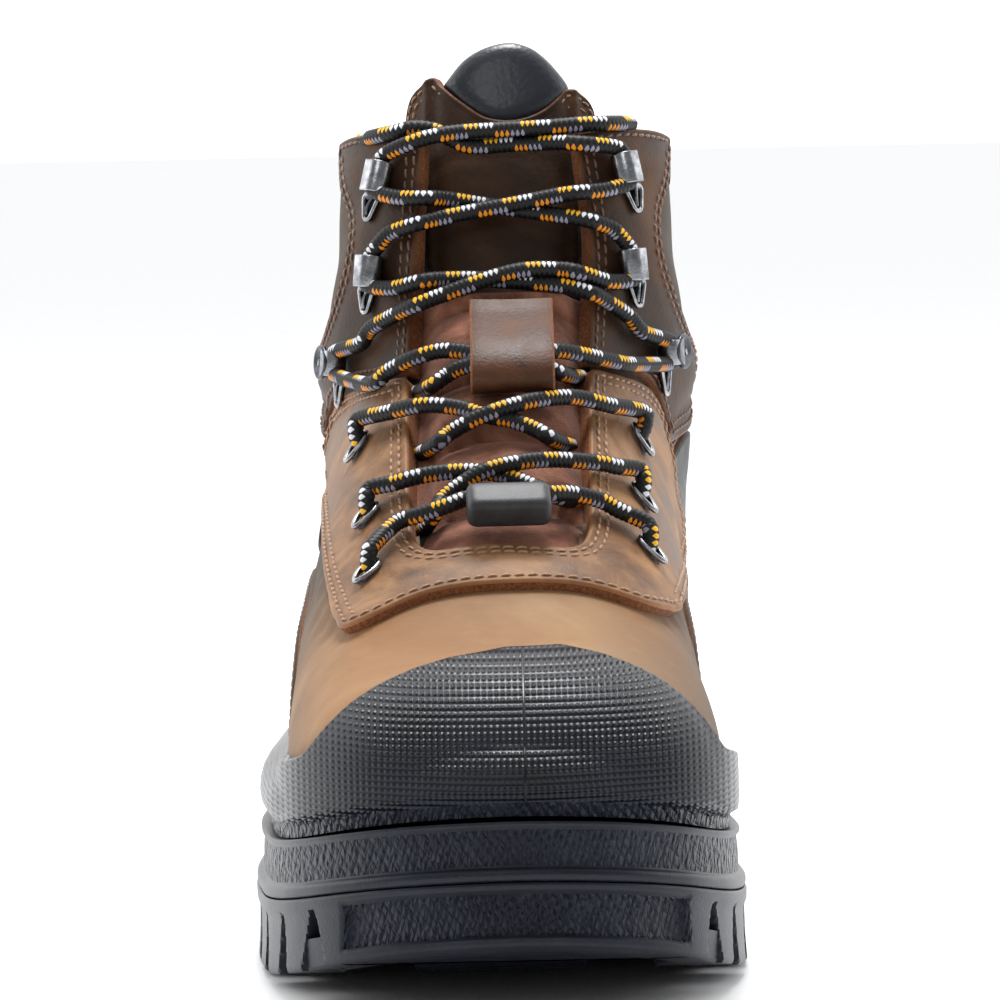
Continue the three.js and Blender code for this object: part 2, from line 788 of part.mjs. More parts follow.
// Eyelet loops: a standing wire loop on a small foot
const eyelets = [
  // name, side, across, up: shares as in the front patterns
  ["A", "lateral", -0.522, 0.462],
  ["B", "lateral", -0.522, 0.522],
  ["C", "lateral", -0.552, 0.598],
  ["A", "medial", 0.663, 0.478],
  ["B", "medial", 0.633, 0.535],
  ["C", "medial", 0.643, 0.601],
];
function eyeletLoop() {
  const loop = new THREE.TorusGeometry(2.7, wireDiameter / 2, 4, 8);
  loop.scale(1, 1.7, 1);
  loop.rotateX(0.75);
  loop.translate(0, 1.2, 4.3);
  return loop;
}
for (const [letter, side, across, up] of eyelets) {
  const [x, z] = [across * ballWidth / 2, patternHeight(up)];
  const turn = side === "lateral" ? 0.25 : -0.25;
  const foot = new THREE.BoxGeometry(5, 5.5, 1);
  foot.translate(0, -2.9, 0.5);
  const seat = flapOuter + gap + 0.35;
  const loop = placeOnFront(eyeletLoop(), x, z, seat, turn);
  addPiece(`eyelet_${letter}_${side}`, loop.add(placeOnFront(foot, x, z, seat, turn)), "metal");
}

// Speed hooks: a sheet band bent into a U, open away from the throat, on a leg
const speedHooks = [
  // name, side, across, up: shares as in the front patterns
  ["5", "lateral", -0.532, 0.798],
  ["6", "lateral", -0.492, 0.911],
  ["5", "medial", 0.673, 0.8],
  ["6", "medial", 0.663, 0.916],
];
const hookBend = 3;
const hookArm = 6;
function hookBand(direction) {
  const shape = new THREE.Shape();
  const inner = hookBend - sheetThickness;
  shape.moveTo(hookArm, 0);
  shape.lineTo(0, 0);
  shape.absarc(0, hookBend, hookBend, -Math.PI / 2, -1.5 * Math.PI, true);
  shape.lineTo(hookArm, 2 * hookBend);
  shape.lineTo(hookArm, 2 * hookBend - sheetThickness);
  shape.lineTo(0, 2 * hookBend - sheetThickness);
  shape.absarc(0, hookBend, inner, Math.PI / 2, 1.5 * Math.PI, false);
  shape.lineTo(hookArm, sheetThickness);
  const band = new THREE.ExtrudeGeometry(shape, { depth: bandHeight, bevelEnabled: false, curveSegments: 5 });
  band.rotateX(Math.PI / 2);
  band.translate(0, bandHeight / 2, 0);
  band.rotateY(direction < 0 ? Math.PI : 0);
  return band;
}
function hookLeg() {
  const shape = new THREE.Shape([
    new THREE.Vector2(-4.5, 2),
    new THREE.Vector2(-1.6, -9),
    new THREE.Vector2(1.6, -9),
    new THREE.Vector2(4.5, 2),
  ]);
  return new THREE.ExtrudeGeometry(shape, { depth: sheetThickness, bevelEnabled: false });
}
const metalSeat = stayOuter + gap + 0.4;
for (const [number, side, across, up] of speedHooks) {
  const [x, z] = [across * ballWidth / 2, patternHeight(up)];
  const out = side === "lateral" ? -1 : 1;
  const band = placeOnFront(hookBand(1), x, z, metalSeat, out < 0 ? Math.PI : 0);
  const leg = placeOnFront(hookLeg(), x + out * 2.5, z, metalSeat + 0.1, 0);
  addPiece(`speed_hook_${number}_${side}`, band.add(leg), "metal");
}

// Lock hooks: a round head on a short stem, with a leg below
const lockHooks = [
  // side, across, up: shares as in the front patterns
  ["lateral", -0.663, 0.677],
  ["medial", 0.793, 0.685],
];
const lockHeadRadius = 4.6;
const lockHeadLift = 5.4;
for (const [side, across, up] of lockHooks) {
  const [x, z] = [across * ballWidth / 2, patternHeight(up)];
  const head = new THREE.CylinderGeometry(lockHeadRadius, lockHeadRadius, 1.3, 14);
  head.rotateX(Math.PI / 2);
  head.translate(0, 0, lockHeadLift);
  const stem = new THREE.BoxGeometry(3, 6, lockHeadLift);
  stem.translate(side === "lateral" ? -1.8 : 1.8, -1, lockHeadLift / 2);
  const seat = metalSeat + 0.4;
  const lock = placeOnFront(head, x, z, seat)
    .add(placeOnFront(stem, x, z, seat))
    .add(placeOnFront(hookLeg(), x, z, seat));
  addPiece(`lock_hook_${side}`, lock, "metal");
}

// Lace strands, with points chosen by hand: across, up, and how far the middle of the cord lies
// off the form
const laces = {
  bar: {
    across: [
      [-25.5, 98.5, 5.4], [-22, 100, 5.6], [-16, 102, 6.2], [-10, 104, 7.3], [-5, 105.5, 7.6],
      [4, 106, 7.8], [13, 106, 7.6], [19, 105.5, 6.6], [25.5, 103, 5.8], [30, 101, 5.6],
    ],
  },
  crossing_1: {
    fromLateral: [
      [-23.5, 108, 5.6], [-21, 108.5, 5.6], [-13.5, 110, 4.6], [-5.5, 110.5, 3.9], [3, 109.5, 3.8],
      [10, 107, 3.8], [15, 104.8, 3.7],
    ],
    fromMedial: [
      [31, 109.5, 5.5], [26, 111, 5.5], [16, 112.5, 5.3], [7, 112.5, 6.2], [-1, 111, 6.4],
      [-6, 108.5, 5.2], [-11, 105, 3.9], [-13, 102, 3.7],
    ],
  },
  crossing_2: {
    fromLateral: [
      [-27, 121, 5.5], [-23.5, 123, 5.7], [-16, 124.5, 5.5], [-7.5, 124, 4], [-1, 122.2, 3.9],
      [5.5, 121, 3.9], [11, 118.8, 3.9], [13.5, 117.3, 3.9],
    ],
    fromMedial: [
      [30.5, 122, 5.5], [27, 124, 5.5], [20, 125.5, 5.4], [11, 125.5, 6.1], [3, 124, 6.5],
      [-4, 121.5, 5.4], [-9.5, 118.5, 3.9], [-12, 116.6, 3.8],
    ],
  },
  crossing_3: {
    fromLateral: [
      [-29.5, 127.5, 5.3], [-24, 131.5, 5.5], [-17, 135, 5.3], [-9.5, 136.5, 3.9], [2.5, 135, 3.8],
      [13, 132.5, 3.8], [17, 130.8, 3.8],
    ],
    fromMedial: [
      [35.5, 130.5, 5.3], [31, 132, 5.2], [23, 134.5, 5], [15.5, 136, 5.3], [4, 135, 6.2],
      [-6.5, 132.8, 4.4], [-10, 131, 3.8], [-13, 129, 3.8],
    ],
  },
  crossing_4: {
    fromLateral: [
      [-31.5, 137.5, 5.2], [-28.5, 140.5, 5.2], [-22, 144.5, 5.2], [-17, 146.8, 5.2], [-11, 149, 3],
      [-0.5, 152.5, 1.4], [8.5, 154.6, 2], [17.5, 154.5, 3.2], [22.5, 153.6, 5.2], [30, 151, 5.2],
    ],
    fromMedial: [
      [37.5, 139, 5.2], [34, 142.5, 5.2], [28, 147, 5.2], [24.5, 148.8, 5.2], [17, 150.8, 1.8],
      [8.5, 151.6, -1], [-2, 152.5, -1.6], [-10.5, 152.6, 1], [-16, 152.2, 5.2], [-23.5, 150.8, 5.2],
    ],
  },
  crossing_5: {
    fromLateral: [
      [-26, 161.5, 5.2], [-23, 163.8, 5.2], [-17, 165.8, 5.2], [-11.5, 167, 2.4], [-3.5, 168.5, 0.8],
      [8.5, 170.4, 1.2], [17.5, 172, 2.8], [22.5, 172.6, 5.2], [29, 173.2, 5.2],
    ],
    fromMedial: [
      [33, 161.5, 5.2], [30, 164, 5.2], [25, 165.8, 5.2], [19, 167, 2], [11.5, 168, -1.4],
      [-0.5, 170, -2.2], [-9.5, 171.6, 0.6], [-15, 172, 5.2], [-22.5, 172.4, 5.2],
    ],
  },
  crossing_6: {
    fromLateral: [
      [-24, 183.2, 5.4], [-17.5, 185.4, 5.4], [-12, 186.8, 3.8], [-5, 187.6, 1.2], [6, 188, 0.8],
      [17, 188.6, 1.8], [24, 190.8, 3.6], [30, 192, 4], [35, 192.8, 3.4], [39, 193, 1.6],
    ],
    fromMedial: [
      [31, 183.8, 5.8], [24, 184.2, 5.8], [18, 184.6, 2.2], [9, 184.4, -1.9], [-3, 184, -2.2],
      [-8, 185.6, -1.4], [-12, 189.4, 0.2], [-17, 191.8, 2.4], [-22, 192.8, 3], [-28, 193.2, 1.6],
    ],
  },
};
// The sizes at which the cord's points were chosen
const chosenBall = 99.6;
const chosenCollar = 190.5;
function onChosenFront(x, z, distance) {
  return onFront((x / chosenBall) * ballWidth, patternHeight(z / chosenCollar), distance);
}
const laceSides = 6;
const stepsPerPoint = 1;
function strandTube(rows, diameter, sidesCount) {
  const points = rows.map(([x, z, distance]) => onChosenFront(x, z, distance));
  const curve = new THREE.CatmullRomCurve3(points, false, "centripetal");
  const section = new THREE.Shape();
  for (let i = 0; i < sidesCount; i++) {
    const angle = (2 * Math.PI * i) / sidesCount;
    const corner = [Math.cos(angle) * diameter / 2, Math.sin(angle) * diameter / 2];
    if (i === 0) {
      section.moveTo(...corner);
    } else {
      section.lineTo(...corner);
    }
  }
  const settings = { steps: Math.round(rows.length * stepsPerPoint), extrudePath: curve, bevelEnabled: false };
  return solidOf(new THREE.ExtrudeGeometry(section, settings));
}
for (const [level, strands] of Object.entries(laces)) {
  const tubes = Object.values(strands).map((rows) => strandTube(rows, laceDiameter, laceSides));
  addPiece(`lace_${level}`, Manifold.union(tubes), "lace");
}

// Lace tag: a rubber block that the lowest bar runs through
const tagPlace = new THREE.Vector2(0.08 * ballWidth / 2, patternHeight(104.6 / chosenCollar));
const tagStandOff = 9.2;
const tagBore = laceDiameter + 3 * gap;
const tagBlock = placeOnFront(
  new THREE.BoxGeometry(tagSize.x, tagSize.z, tagSize.y), tagPlace.x, tagPlace.y, tagStandOff,
);
const tag = [...Object.values(laces.bar), ...Object.values(laces.crossing_1)].reduce(
  (solid, rows) => solid.subtract(strandTube(rows, tagBore, laceSides)),
  tagBlock,
);
addPiece("lace_tag", tag, "rubber");

// Keeper loop: a strap that stands off the guard to let the laces pass
const keeperMiddle = 0.1124 * ballWidth / 2;
const keeperRows = [
  // up, distance off the form
  [127.6, 2.6], [129.2, 3], [131.2, 7.4], [134.6, 9.8], [138, 9.4], [142, 6], [145.5, 2.6], [147.2, 2.4],
];
function keeperStrap() {
  const line = keeperRows.map(([z, distance]) => (
    onFront(keeperMiddle, patternHeight(z / chosenCollar), distance)
  ));
  const flat = line.map((p) => new THREE.Vector2(p.y, p.z));
  const curve = new THREE.SplineCurve(flat);
  const path = curve.getPoints(14);
  const edge = (side) => path.map((p, i) => {
    const ahead = path[Math.min(i + 1, path.length - 1)];
    const behind = path[Math.max(i - 1, 0)];
    const along = ahead.clone().sub(behind).normalize();
    const across = new THREE.Vector2(-along.y, along.x);
    return p.clone().addScaledVector(across, side * keeperThickness / 2);
  });
  const shape = new THREE.Shape([...edge(1), ...edge(-1).reverse()]);
  return sidePrism(shape, keeperMiddle - keeperWidth / 2, keeperMiddle + keeperWidth / 2);
}
addPiece("keeper_loop", keeperStrap().subtract(form(guardRibHeight + gap)), "leather");

export default boot;
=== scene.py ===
# %% [markdown]
# # Dressing a metatarsal guard boot
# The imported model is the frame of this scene: solids of the right size in the right place, plain and a
# little coarse. Each cell below makes one part of the boot's look and says which solid it stands for.
# Everything is worked out in millimetres, as a last maker or a pattern cutter would, and turned into
# metres when a mesh is made. +Z is up, the toe points to -Y, and the inner side of this right boot is +X.

# %% Load the frame
import math

import bpy
import numpy as np
from mathutils import Matrix, Vector, geometry
from mathutils.bvhtree import BVHTree
from mathutils.kdtree import KDTree


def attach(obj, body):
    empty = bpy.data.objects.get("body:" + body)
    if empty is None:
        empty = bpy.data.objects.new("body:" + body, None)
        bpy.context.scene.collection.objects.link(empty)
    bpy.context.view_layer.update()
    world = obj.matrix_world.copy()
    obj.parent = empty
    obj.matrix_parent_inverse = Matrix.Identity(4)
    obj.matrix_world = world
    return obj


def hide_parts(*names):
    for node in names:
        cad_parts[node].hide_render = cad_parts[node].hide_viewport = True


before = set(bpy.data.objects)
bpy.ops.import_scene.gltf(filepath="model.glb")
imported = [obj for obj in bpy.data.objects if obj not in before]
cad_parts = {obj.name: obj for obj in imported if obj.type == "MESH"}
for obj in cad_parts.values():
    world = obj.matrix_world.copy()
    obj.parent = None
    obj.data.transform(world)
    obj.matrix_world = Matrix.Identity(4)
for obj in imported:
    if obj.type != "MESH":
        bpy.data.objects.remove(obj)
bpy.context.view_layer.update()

# %% [markdown]
# ## Camera, floor and light
# A product photographer stands well back with a long lens, so that the toe doesn't swell and the collar
# doesn't shrink. The lens here is 232 mm at a metre and a half, five degrees above the horizon, and
# rolled a little over one degree, as the photograph is. The light is a bright room, white behind the boot
# and dimmer behind the camera, so that the front keeps its depth. The strongest lamp hangs above and a
# little behind, and draws the highlight along the rubber toe. Weak lamps at the sides and in front lift
# the shadows. The Standard view transform shows a white wall as white, as a catalogue picture does.

# %% Camera
MM = 0.001
CAMERA_PLACE = (1.98, -1535.2, 235.0)
CAMERA_DROP = math.radians(5)
CAMERA_ROLL = math.radians(1.2)


def aim_camera():
    """The camera's three axes as a matrix, from its drop and its roll."""
    forward = Vector((0, math.cos(CAMERA_DROP), -math.sin(CAMERA_DROP)))
    level_up = Vector((0, math.sin(CAMERA_DROP), math.cos(CAMERA_DROP)))
    level_right = Vector((1, 0, 0))
    right = level_right * math.cos(CAMERA_ROLL) - level_up * math.sin(CAMERA_ROLL)
    up = level_right * math.sin(CAMERA_ROLL) + level_up * math.cos(CAMERA_ROLL)
    turn = Matrix((right, up, -forward)).transposed().to_4x4()
    return Matrix.Translation(Vector(CAMERA_PLACE) * MM) @ turn


camera_data = bpy.data.cameras.new("camera")
camera_data.lens = 232.2
camera_data.sensor_width = 36.0
camera_data.clip_start = 0.1
camera_data.clip_end = 20.0
camera = bpy.data.objects.new("camera", camera_data)
camera.matrix_world = aim_camera()
bpy.context.collection.objects.link(camera)
bpy.context.scene.camera = camera
print("camera at", [round(v, 4) for v in camera.location])


# %% Light
def soft_lamp(name, place, target, size, watts):
    """A square lamp of a size in metres, turned towards a target."""
    light = bpy.data.lights.new(name, "AREA")
    light.shape = "SQUARE"
    light.size = size
    light.energy = watts
    lamp = bpy.data.objects.new(name, light)
    lamp.location = place
    lamp.rotation_euler = (Vector(target) - Vector(place)).to_track_quat("-Z", "Y").to_euler()
    bpy.context.collection.objects.link(lamp)


soft_lamp("lamp_left", (-1.0, 0.1, 0.5), (0, -0.05, 0.08), 0.6, 2.4)
soft_lamp("lamp_right", (1.0, 0.1, 0.5), (0, -0.05, 0.08), 0.6, 2.0)
soft_lamp("lamp_top", (0.03, 0.3, 1.2), (0, -0.05, 0.05), 0.4, 15.0)
soft_lamp("lamp_front", (-0.25, -1.1, 0.9), (0, 0, 0.1), 0.5, 2.0)

world = bpy.data.worlds.new("bright_room")
world.use_nodes = True
room = world.node_tree
direction = room.nodes.new("ShaderNodeTexCoord")
parts = room.nodes.new("ShaderNodeSeparateXYZ")
wall = room.nodes.new("ShaderNodeMapRange")
for socket, value in (("From Min", -0.5), ("From Max", 0.7), ("To Min", 0.3), ("To Max", 1.8)):
    wall.inputs[socket].default_value = value
room.links.new(direction.outputs["Generated"], parts.inputs[0])
room.links.new(parts.outputs["Y"], wall.inputs["Value"])
room.links.new(wall.outputs[0], room.nodes["Background"].inputs["Strength"])
room.nodes["Background"].inputs["Color"].default_value = (1.0, 1.0, 1.0, 1)
bpy.context.scene.world = world
bpy.context.scene.view_settings.view_transform = "Standard"
print("lamps:", [lamp.name for lamp in bpy.data.lights])

# %% [markdown]
# ## Colours and nodes
# Leather and rubber are judged against swatches, so colours are written as sRGB hex, as a swatch book
# would give them, and one function turns them linear. A second small function adds a shader node with
# its settings and its links, which keeps each finish readable as a list of steps.


# %% Helpers for finishes
def linear(hex_text):
    """An sRGB swatch such as 7d5a35 as linear red, green, blue and alpha."""
    channels = [int(hex_text[i:i + 2], 16) / 255 for i in (0, 2, 4)]
    return tuple(c / 12.92 if c <= 0.04045 else ((c + 0.055) / 1.055) ** 2.4 for c in channels) + (1.0,)


def add(tree, kind, links=None, values=None, **settings):
    """Adds a node. links: input to (node, output). values: input to a fixed value."""
    node = tree.nodes.new("ShaderNode" + kind)
    for name, value in settings.items():
        setattr(node, name, value)
    for name, value in (values or {}).items():
        node.inputs[name].default_value = value
    for name, (source, output) in (links or {}).items():
        tree.links.new(source.outputs[output], node.inputs[name])
    return node


def new_finish(name, roughness, ior=1.5, metallic=0.0, **sockets):
    """A material with its own node tree. Returns it, its tree, its shader, and the place in the object."""
    material = bpy.data.materials.new(name)
    material.use_nodes = True
    tree = material.node_tree
    shader = tree.nodes["Principled BSDF"]
    shader.inputs["Roughness"].default_value = roughness
    shader.inputs["IOR"].default_value = ior
    shader.inputs["Metallic"].default_value = metallic
    for socket, value in sockets.items():
        shader.inputs[socket.replace("_", " ")].default_value = value
    return material, tree, shader, (add(tree, "TexCoord"), "Object")


def ramp(tree, source, stops, interpolation="LINEAR"):
    """A colour ramp fed by (node, output). stops: place and sRGB swatch."""
    node = add(tree, "ValToRGB", {"Fac": source})
    node.color_ramp.interpolation = interpolation
    elements = node.color_ramp.elements
    while len(elements) > 1:
        elements.remove(elements[-1])
    elements[0].position = stops[0][0]
    elements[0].color = linear(stops[0][1])
    for place, swatch in stops[1:]:
        elements.new(place).color = linear(swatch)
    return node


def blend_colours(tree, factor, first, second, how="MIX"):
    """Mixes two colours, each a swatch or (node, output), by a factor: a number or (node, output)."""
    node = add(tree, "Mix", data_type="RGBA", blend_type=how)
    for index, value in ((0, factor), (6, first), (7, second)):
        if isinstance(value, tuple):
            tree.links.new(value[0].outputs[value[1]], node.inputs[index])
        elif isinstance(value, str):
            node.inputs[index].default_value = linear(value)
        else:
            node.inputs[index].default_value = value
    return (node, 2)


def calculate(tree, operation, *values, clamp=False):
    """A Math node. Each value is a number or (node, output)."""
    node = add(tree, "Math", operation=operation, use_clamp=clamp)
    for index, value in enumerate(values):
        if isinstance(value, tuple):
            tree.links.new(value[0].outputs[value[1]], node.inputs[index])
        else:
            node.inputs[index].default_value = value
    return (node, 0)


def dress(tree, shader, colour, height=None, strength=0.0, depth=0.0):
    """Gives the shader a colour and a relief, each (node, output). depth: of the relief, in metres."""
    tree.links.new(colour[0].outputs[colour[1]], shader.inputs["Base Color"])
    if height is not None:
        bump = add(tree, "Bump", {"Height": height}, {"Strength": strength, "Distance": depth})
        tree.links.new(bump.outputs[0], shader.inputs["Normal"])


# %% Floor
floor_paper, floor_tree, floor_shader, _ = new_finish("matt_floor_paper", 0.9)
floor_grain = add(floor_tree, "TexNoise", values={"Scale": 900.0, "Detail": 2.0})
floor_tone = ramp(floor_tree, (floor_grain, 0), [(0.3, "f8f9fa"), (0.7, "fbfcfd")])
dress(floor_tree, floor_shader, (floor_tone, 0))
bpy.ops.mesh.primitive_grid_add(x_subdivisions=8, y_subdivisions=8, size=9, location=(0, 1.0, -0.0004))
floor = bpy.context.object
floor.name = "floor"
floor.data.materials.append(floor_paper)

# %% [markdown]
# ## The last
# A boot is made round a last, a wooden or plastic foot. Every piece here is laid on the same last, so
# pieces that meet do so at the same place. The last is a fan of flat sections, upright in the forefoot
# and nearly level in the shaft. Each section runs from a bottom or back point to a top or front point,
# and is a rounded square that is widest at its waist. The lengths are shares of the boot's main sizes.

# %% Sizes and sections
BOOT_LENGTH = 306.0
SOLE_WIDTH = 113.5
BALL_WIDTH = 99.6
INSTEP_HEIGHT = 115.5
COLLAR_HEIGHT = 190.5
COLLAR_DIP = 12.0
COLLAR_EDGE = COLLAR_HEIGHT - 3
FOOTBED_HEIGHT = 28.0
HEEL_RISE = 10.0
TOE_SPRING = 13.5

SECTIONS = [
    # front_at, front_up, back_at, back_up, lateral, medial, lean, waist, low, top
    [-0.469, 0.502, -0.469, None, 0.26, 0.28, 0.05, 0.42, 3.0, 2.4],
    [-0.464, 0.537, -0.464, None, 0.46, 0.49, 0.046, 0.4, 3.5, 2.5],
    [-0.448, 0.58, -0.448, None, 0.64, 0.68, 0.042, 0.38, 4.0, 2.5],
    [-0.418, 0.619, -0.418, None, 0.79, 0.82, 0.038, 0.36, 4.5, 2.5],
    [-0.376, 0.649, -0.376, None, 0.9, 0.915, 0.032, 0.35, 5.0, 2.5],
    [-0.317, 0.675, -0.317, None, 0.965, 0.965, 0.026, 0.34, 5.0, 2.5],
    [-0.252, 0.723, -0.252, None, 0.995, 0.97, 0.022, 0.34, 5.0, 2.4],
    [-0.186, 0.797, -0.186, None, 1.0, 0.95, 0.02, 0.34, 5.0, 2.2],
    [-0.121, 0.896, -0.121, None, 0.99, 0.925, 0.02, 0.34, 5.0, 2.1],
    [-0.062, 1.0, -0.026, None, 0.975, 0.89, 0.022, 0.34, 4.5, 2.05],
    [-0.016, 1.147, 0.098, None, 0.96, 0.87, 0.026, 0.33, 3.8, 2.0],
    [0.02, 1.28, 0.235, None, 0.935, 0.875, 0.03, 0.32, 3.2, 2.0],
    [0.047, 1.407, 0.366, None, 0.89, 0.87, 0.034, 0.36, 3.0, 2.05],
    [0.067, 1.52, 0.458, 0.226, 0.868, 0.868, 0.038, 0.44, 2.8, 2.2],
    [0.085, 1.64, 0.482, 0.336, 0.89, 0.895, 0.041, 0.5, 2.6, 2.3],
    [0.098, 1.74, 0.48, 0.472, 0.895, 0.9, 0.043, 0.5, 2.5, 2.4],
    [0.109, 1.84, 0.461, 0.619, 0.843, 0.851, 0.045, 0.5, 2.4, 2.4],
    [0.119, 1.92, 0.449, 0.751, 0.831, 0.839, 0.046, 0.5, 2.4, 2.4],
    [0.127, 2.0, 0.453, 0.861, 0.815, 0.823, 0.048, 0.5, 2.4, 2.3],
    [0.134, 2.087, 0.461, 0.945, 0.795, 0.803, 0.05, 0.5, 2.4, 2.3],
    [0.142, 2.19, 0.463, 1.03, 0.785, 0.793, 0.052, 0.5, 2.4, 2.3],
    [0.15, 2.32, 0.464, 1.12, 0.775, 0.783, 0.054, 0.5, 2.4, 2.3],
]


def smooth(share):
    t = np.clip(share, 0, 1)
    return t * t * (3 - 2 * t)


def spring_lift(y):
    """How far the toe spring lifts the sole at y."""
    start = -0.18 * BOOT_LENGTH
    past = np.maximum(start - y, 0) / (BOOT_LENGTH / 2 + start)
    return TOE_SPRING * past * past


def rise_lift(y):
    """How far the heel lifts the footbed at y."""
    return HEEL_RISE * smooth((y / BOOT_LENGTH + 0.065) / (0.28 + 0.065))


def lift(y):
    return spring_lift(y) + rise_lift(y)


def front_height(share):
    if share <= 1:
        return share * INSTEP_HEIGHT
    return INSTEP_HEIGHT + (share - 1) * (COLLAR_HEIGHT - INSTEP_HEIGHT)


# %% Fine grid of the last
AROUND = 300
STEPS_PER_SECTION = 9


def lengths_along(points):
    """How far each point of a line lies from its start, along the line."""
    return np.concatenate([[0], np.cumsum(np.linalg.norm(np.diff(points, axis=0), axis=1))])


def at_lengths(wanted, lengths, points):
    """Points of a line at the wanted distances from its start."""
    return np.stack([np.interp(wanted, lengths, column) for column in np.transpose(points)], axis=1)


def half_section(row, side):
    """Points along half a section from bottom to top, evenly spaced along its length."""
    front_at, front_up, back_at, back_up, lateral, medial, lean, waist, low, top = row
    back_y = back_at * BOOT_LENGTH
    back_z = FOOTBED_HEIGHT + lift(back_y) if back_up is None else back_up * COLLAR_HEIGHT
    front_y = front_at * BOOT_LENGTH
    front_z = front_height(front_up)
    angle = np.linspace(0, np.pi, 1441)
    cos, sin = np.cos(angle), np.sin(angle)
    power = np.where(cos > 0, low, top)
    across = np.abs(sin) ** (2 / power)
    along = np.abs(cos) ** (2 / power)
    share = np.where(cos > 0, waist * (1 - along), waist + (1 - waist) * along)
    half = (medial if side > 0 else lateral) * BALL_WIDTH / 2
    points = np.stack([
        lean * BALL_WIDTH + side * across * half,
        back_y + (front_y - back_y) * share,
        back_z + (front_z - back_z) * share,
    ], axis=1)
    length = lengths_along(points)
    return at_lengths(np.linspace(0, length[-1], AROUND // 2 + 1), length, points)


def section_ring(row):
    """A ring of points: bottom or back, inner side, top or front, outer side."""
    inner = half_section(row, 1)
    outer = half_section(row, -1)
    return np.concatenate([inner, outer[-2:0:-1]])


def through(rings, steps):
    """Extra rings between the given ones, on smooth curves through them."""
    rings = np.asarray(rings)
    before = np.concatenate([2 * rings[:1] - rings[1:2], rings[:-1]])
    after = np.concatenate([rings[1:], 2 * rings[-1:] - rings[-2:-1]])
    slope = (after - before) / 2
    result = []
    for i in range(len(rings) - 1):
        for step in range(steps):
            t = step / steps
            result.append(
                (2 * t ** 3 - 3 * t ** 2 + 1) * rings[i] + (t ** 3 - 2 * t ** 2 + t) * slope[i]
                + (3 * t ** 2 - 2 * t ** 3) * rings[i + 1] + (t ** 3 - t ** 2) * slope[i + 1]
            )
    result.append(rings[-1])
    return np.array(result)


def grid_normals(grid):
    """The way out of the last at each point of the grid."""
    up = np.gradient(grid, axis=0)
    round_ring = np.roll(grid, -1, axis=1) - np.roll(grid, 1, axis=1)
    normal = np.cross(up, round_ring)
    length = np.linalg.norm(normal, axis=2, keepdims=True)
    return normal / np.maximum(length, 1e-9)


last_grid = through([section_ring(row) for row in SECTIONS], STEPS_PER_SECTION)
last_normals = grid_normals(last_grid)
TOP_ROW = len(last_grid) - 1
print("last:", last_grid.shape, "normal at instep", last_normals[90, AROUND // 2].round(2))

# %% [markdown]
# ## Places on the last
# A pattern cutter draws a panel flat and pulls it over the last. Here each panel is drawn as it is seen
# from the front or from a side, and every point of its outline is found on the last by a ray. A place
# is then two numbers, the row and the turn on the fine grid, so that later steps can move along the
# surface, in from an edge, or out by a thickness.

# %% Finding and sampling places
VIEWS = {
    "front": ((0, -400, 0), (0, 1, 0)),
    "back": ((0, 400, 0), (0, -1, 0)),
    "lateral": ((-200, 0, 0), (1, 0, 0)),
    "medial": ((200, 0, 0), (-1, 0, 0)),
}


def grid_faces(rows, around):
    """Four-cornered faces of a grid of points, facing out of the last."""
    i, k = np.meshgrid(np.arange(rows - 1), np.arange(around), indexing="ij")
    a = i * around + k
    b = i * around + (k + 1) % around
    return np.stack([a, a + around, b + around, b], axis=-1).reshape(-1, 4)


def tree_of(grid):
    """A search tree over a grid of points, for rays."""
    faces = grid_faces(grid.shape[0], grid.shape[1])
    return BVHTree.FromPolygons(grid.reshape(-1, 3).tolist(), faces.tolist())


last_tree = tree_of(last_grid)


def sample(grid, places):
    """The value of the grid at places, each a row and a turn."""
    places = np.atleast_2d(places)
    row = np.clip(places[:, 0], 0, TOP_ROW - 1e-6)
    turn = places[:, 1] % AROUND
    i, k = row.astype(int), turn.astype(int)
    a, b = (row - i)[:, None], (turn - k)[:, None]
    k = k % AROUND
    after = (k + 1) % AROUND
    low = grid[i, k] * (1 - b) + grid[i, after] * b
    high = grid[i + 1, k] * (1 - b) + grid[i + 1, after] * b
    return low * (1 - a) + high * a


def find(view, across, up):
    """The place on the last that a ray meets at a point of a view, in millimetres."""
    start, way = VIEWS[view]
    origin = Vector(start)
    origin[0 if view in ("front", "back") else 1] = across
    origin[2] = up
    hit, _, face, _ = last_tree.ray_cast(origin, Vector(way))
    if hit is None:
        hit, _, face, _ = last_tree.find_nearest(Vector((across, 0, up)) if view in ("front", "back")
                                                 else Vector((0, across, up)))
    i, k = divmod(face, AROUND)
    place = np.array([i + 0.5, k + 0.5])
    target = np.array(hit)
    for _ in range(4):
        here = sample(last_grid, place)[0]
        steps = np.stack([
            sample(last_grid, place + (0.25, 0))[0] - sample(last_grid, place - (0.25, 0))[0],
            sample(last_grid, place + (0, 0.25))[0] - sample(last_grid, place - (0, 0.25))[0],
        ], axis=1) * 2
        move = np.linalg.lstsq(steps, target - here, rcond=None)[0]
        place = place + np.clip(move, -1.5, 1.5)
    return place


def on_front(x, z, distance):
    """The point at x and z, seen from the front, that lies at a distance off the last."""
    target = np.array([x, z], dtype=float)
    aim = target.copy()
    for _ in range(5):
        place = find("front", *aim)
        point = sample(last_grid, place)[0] + distance * sample(last_normals, place)[0]
        aim += target - point[[0, 2]]
    return point


probe = on_front(0, 100, 0)
print("last at x 0, z 100:", probe.round(2))
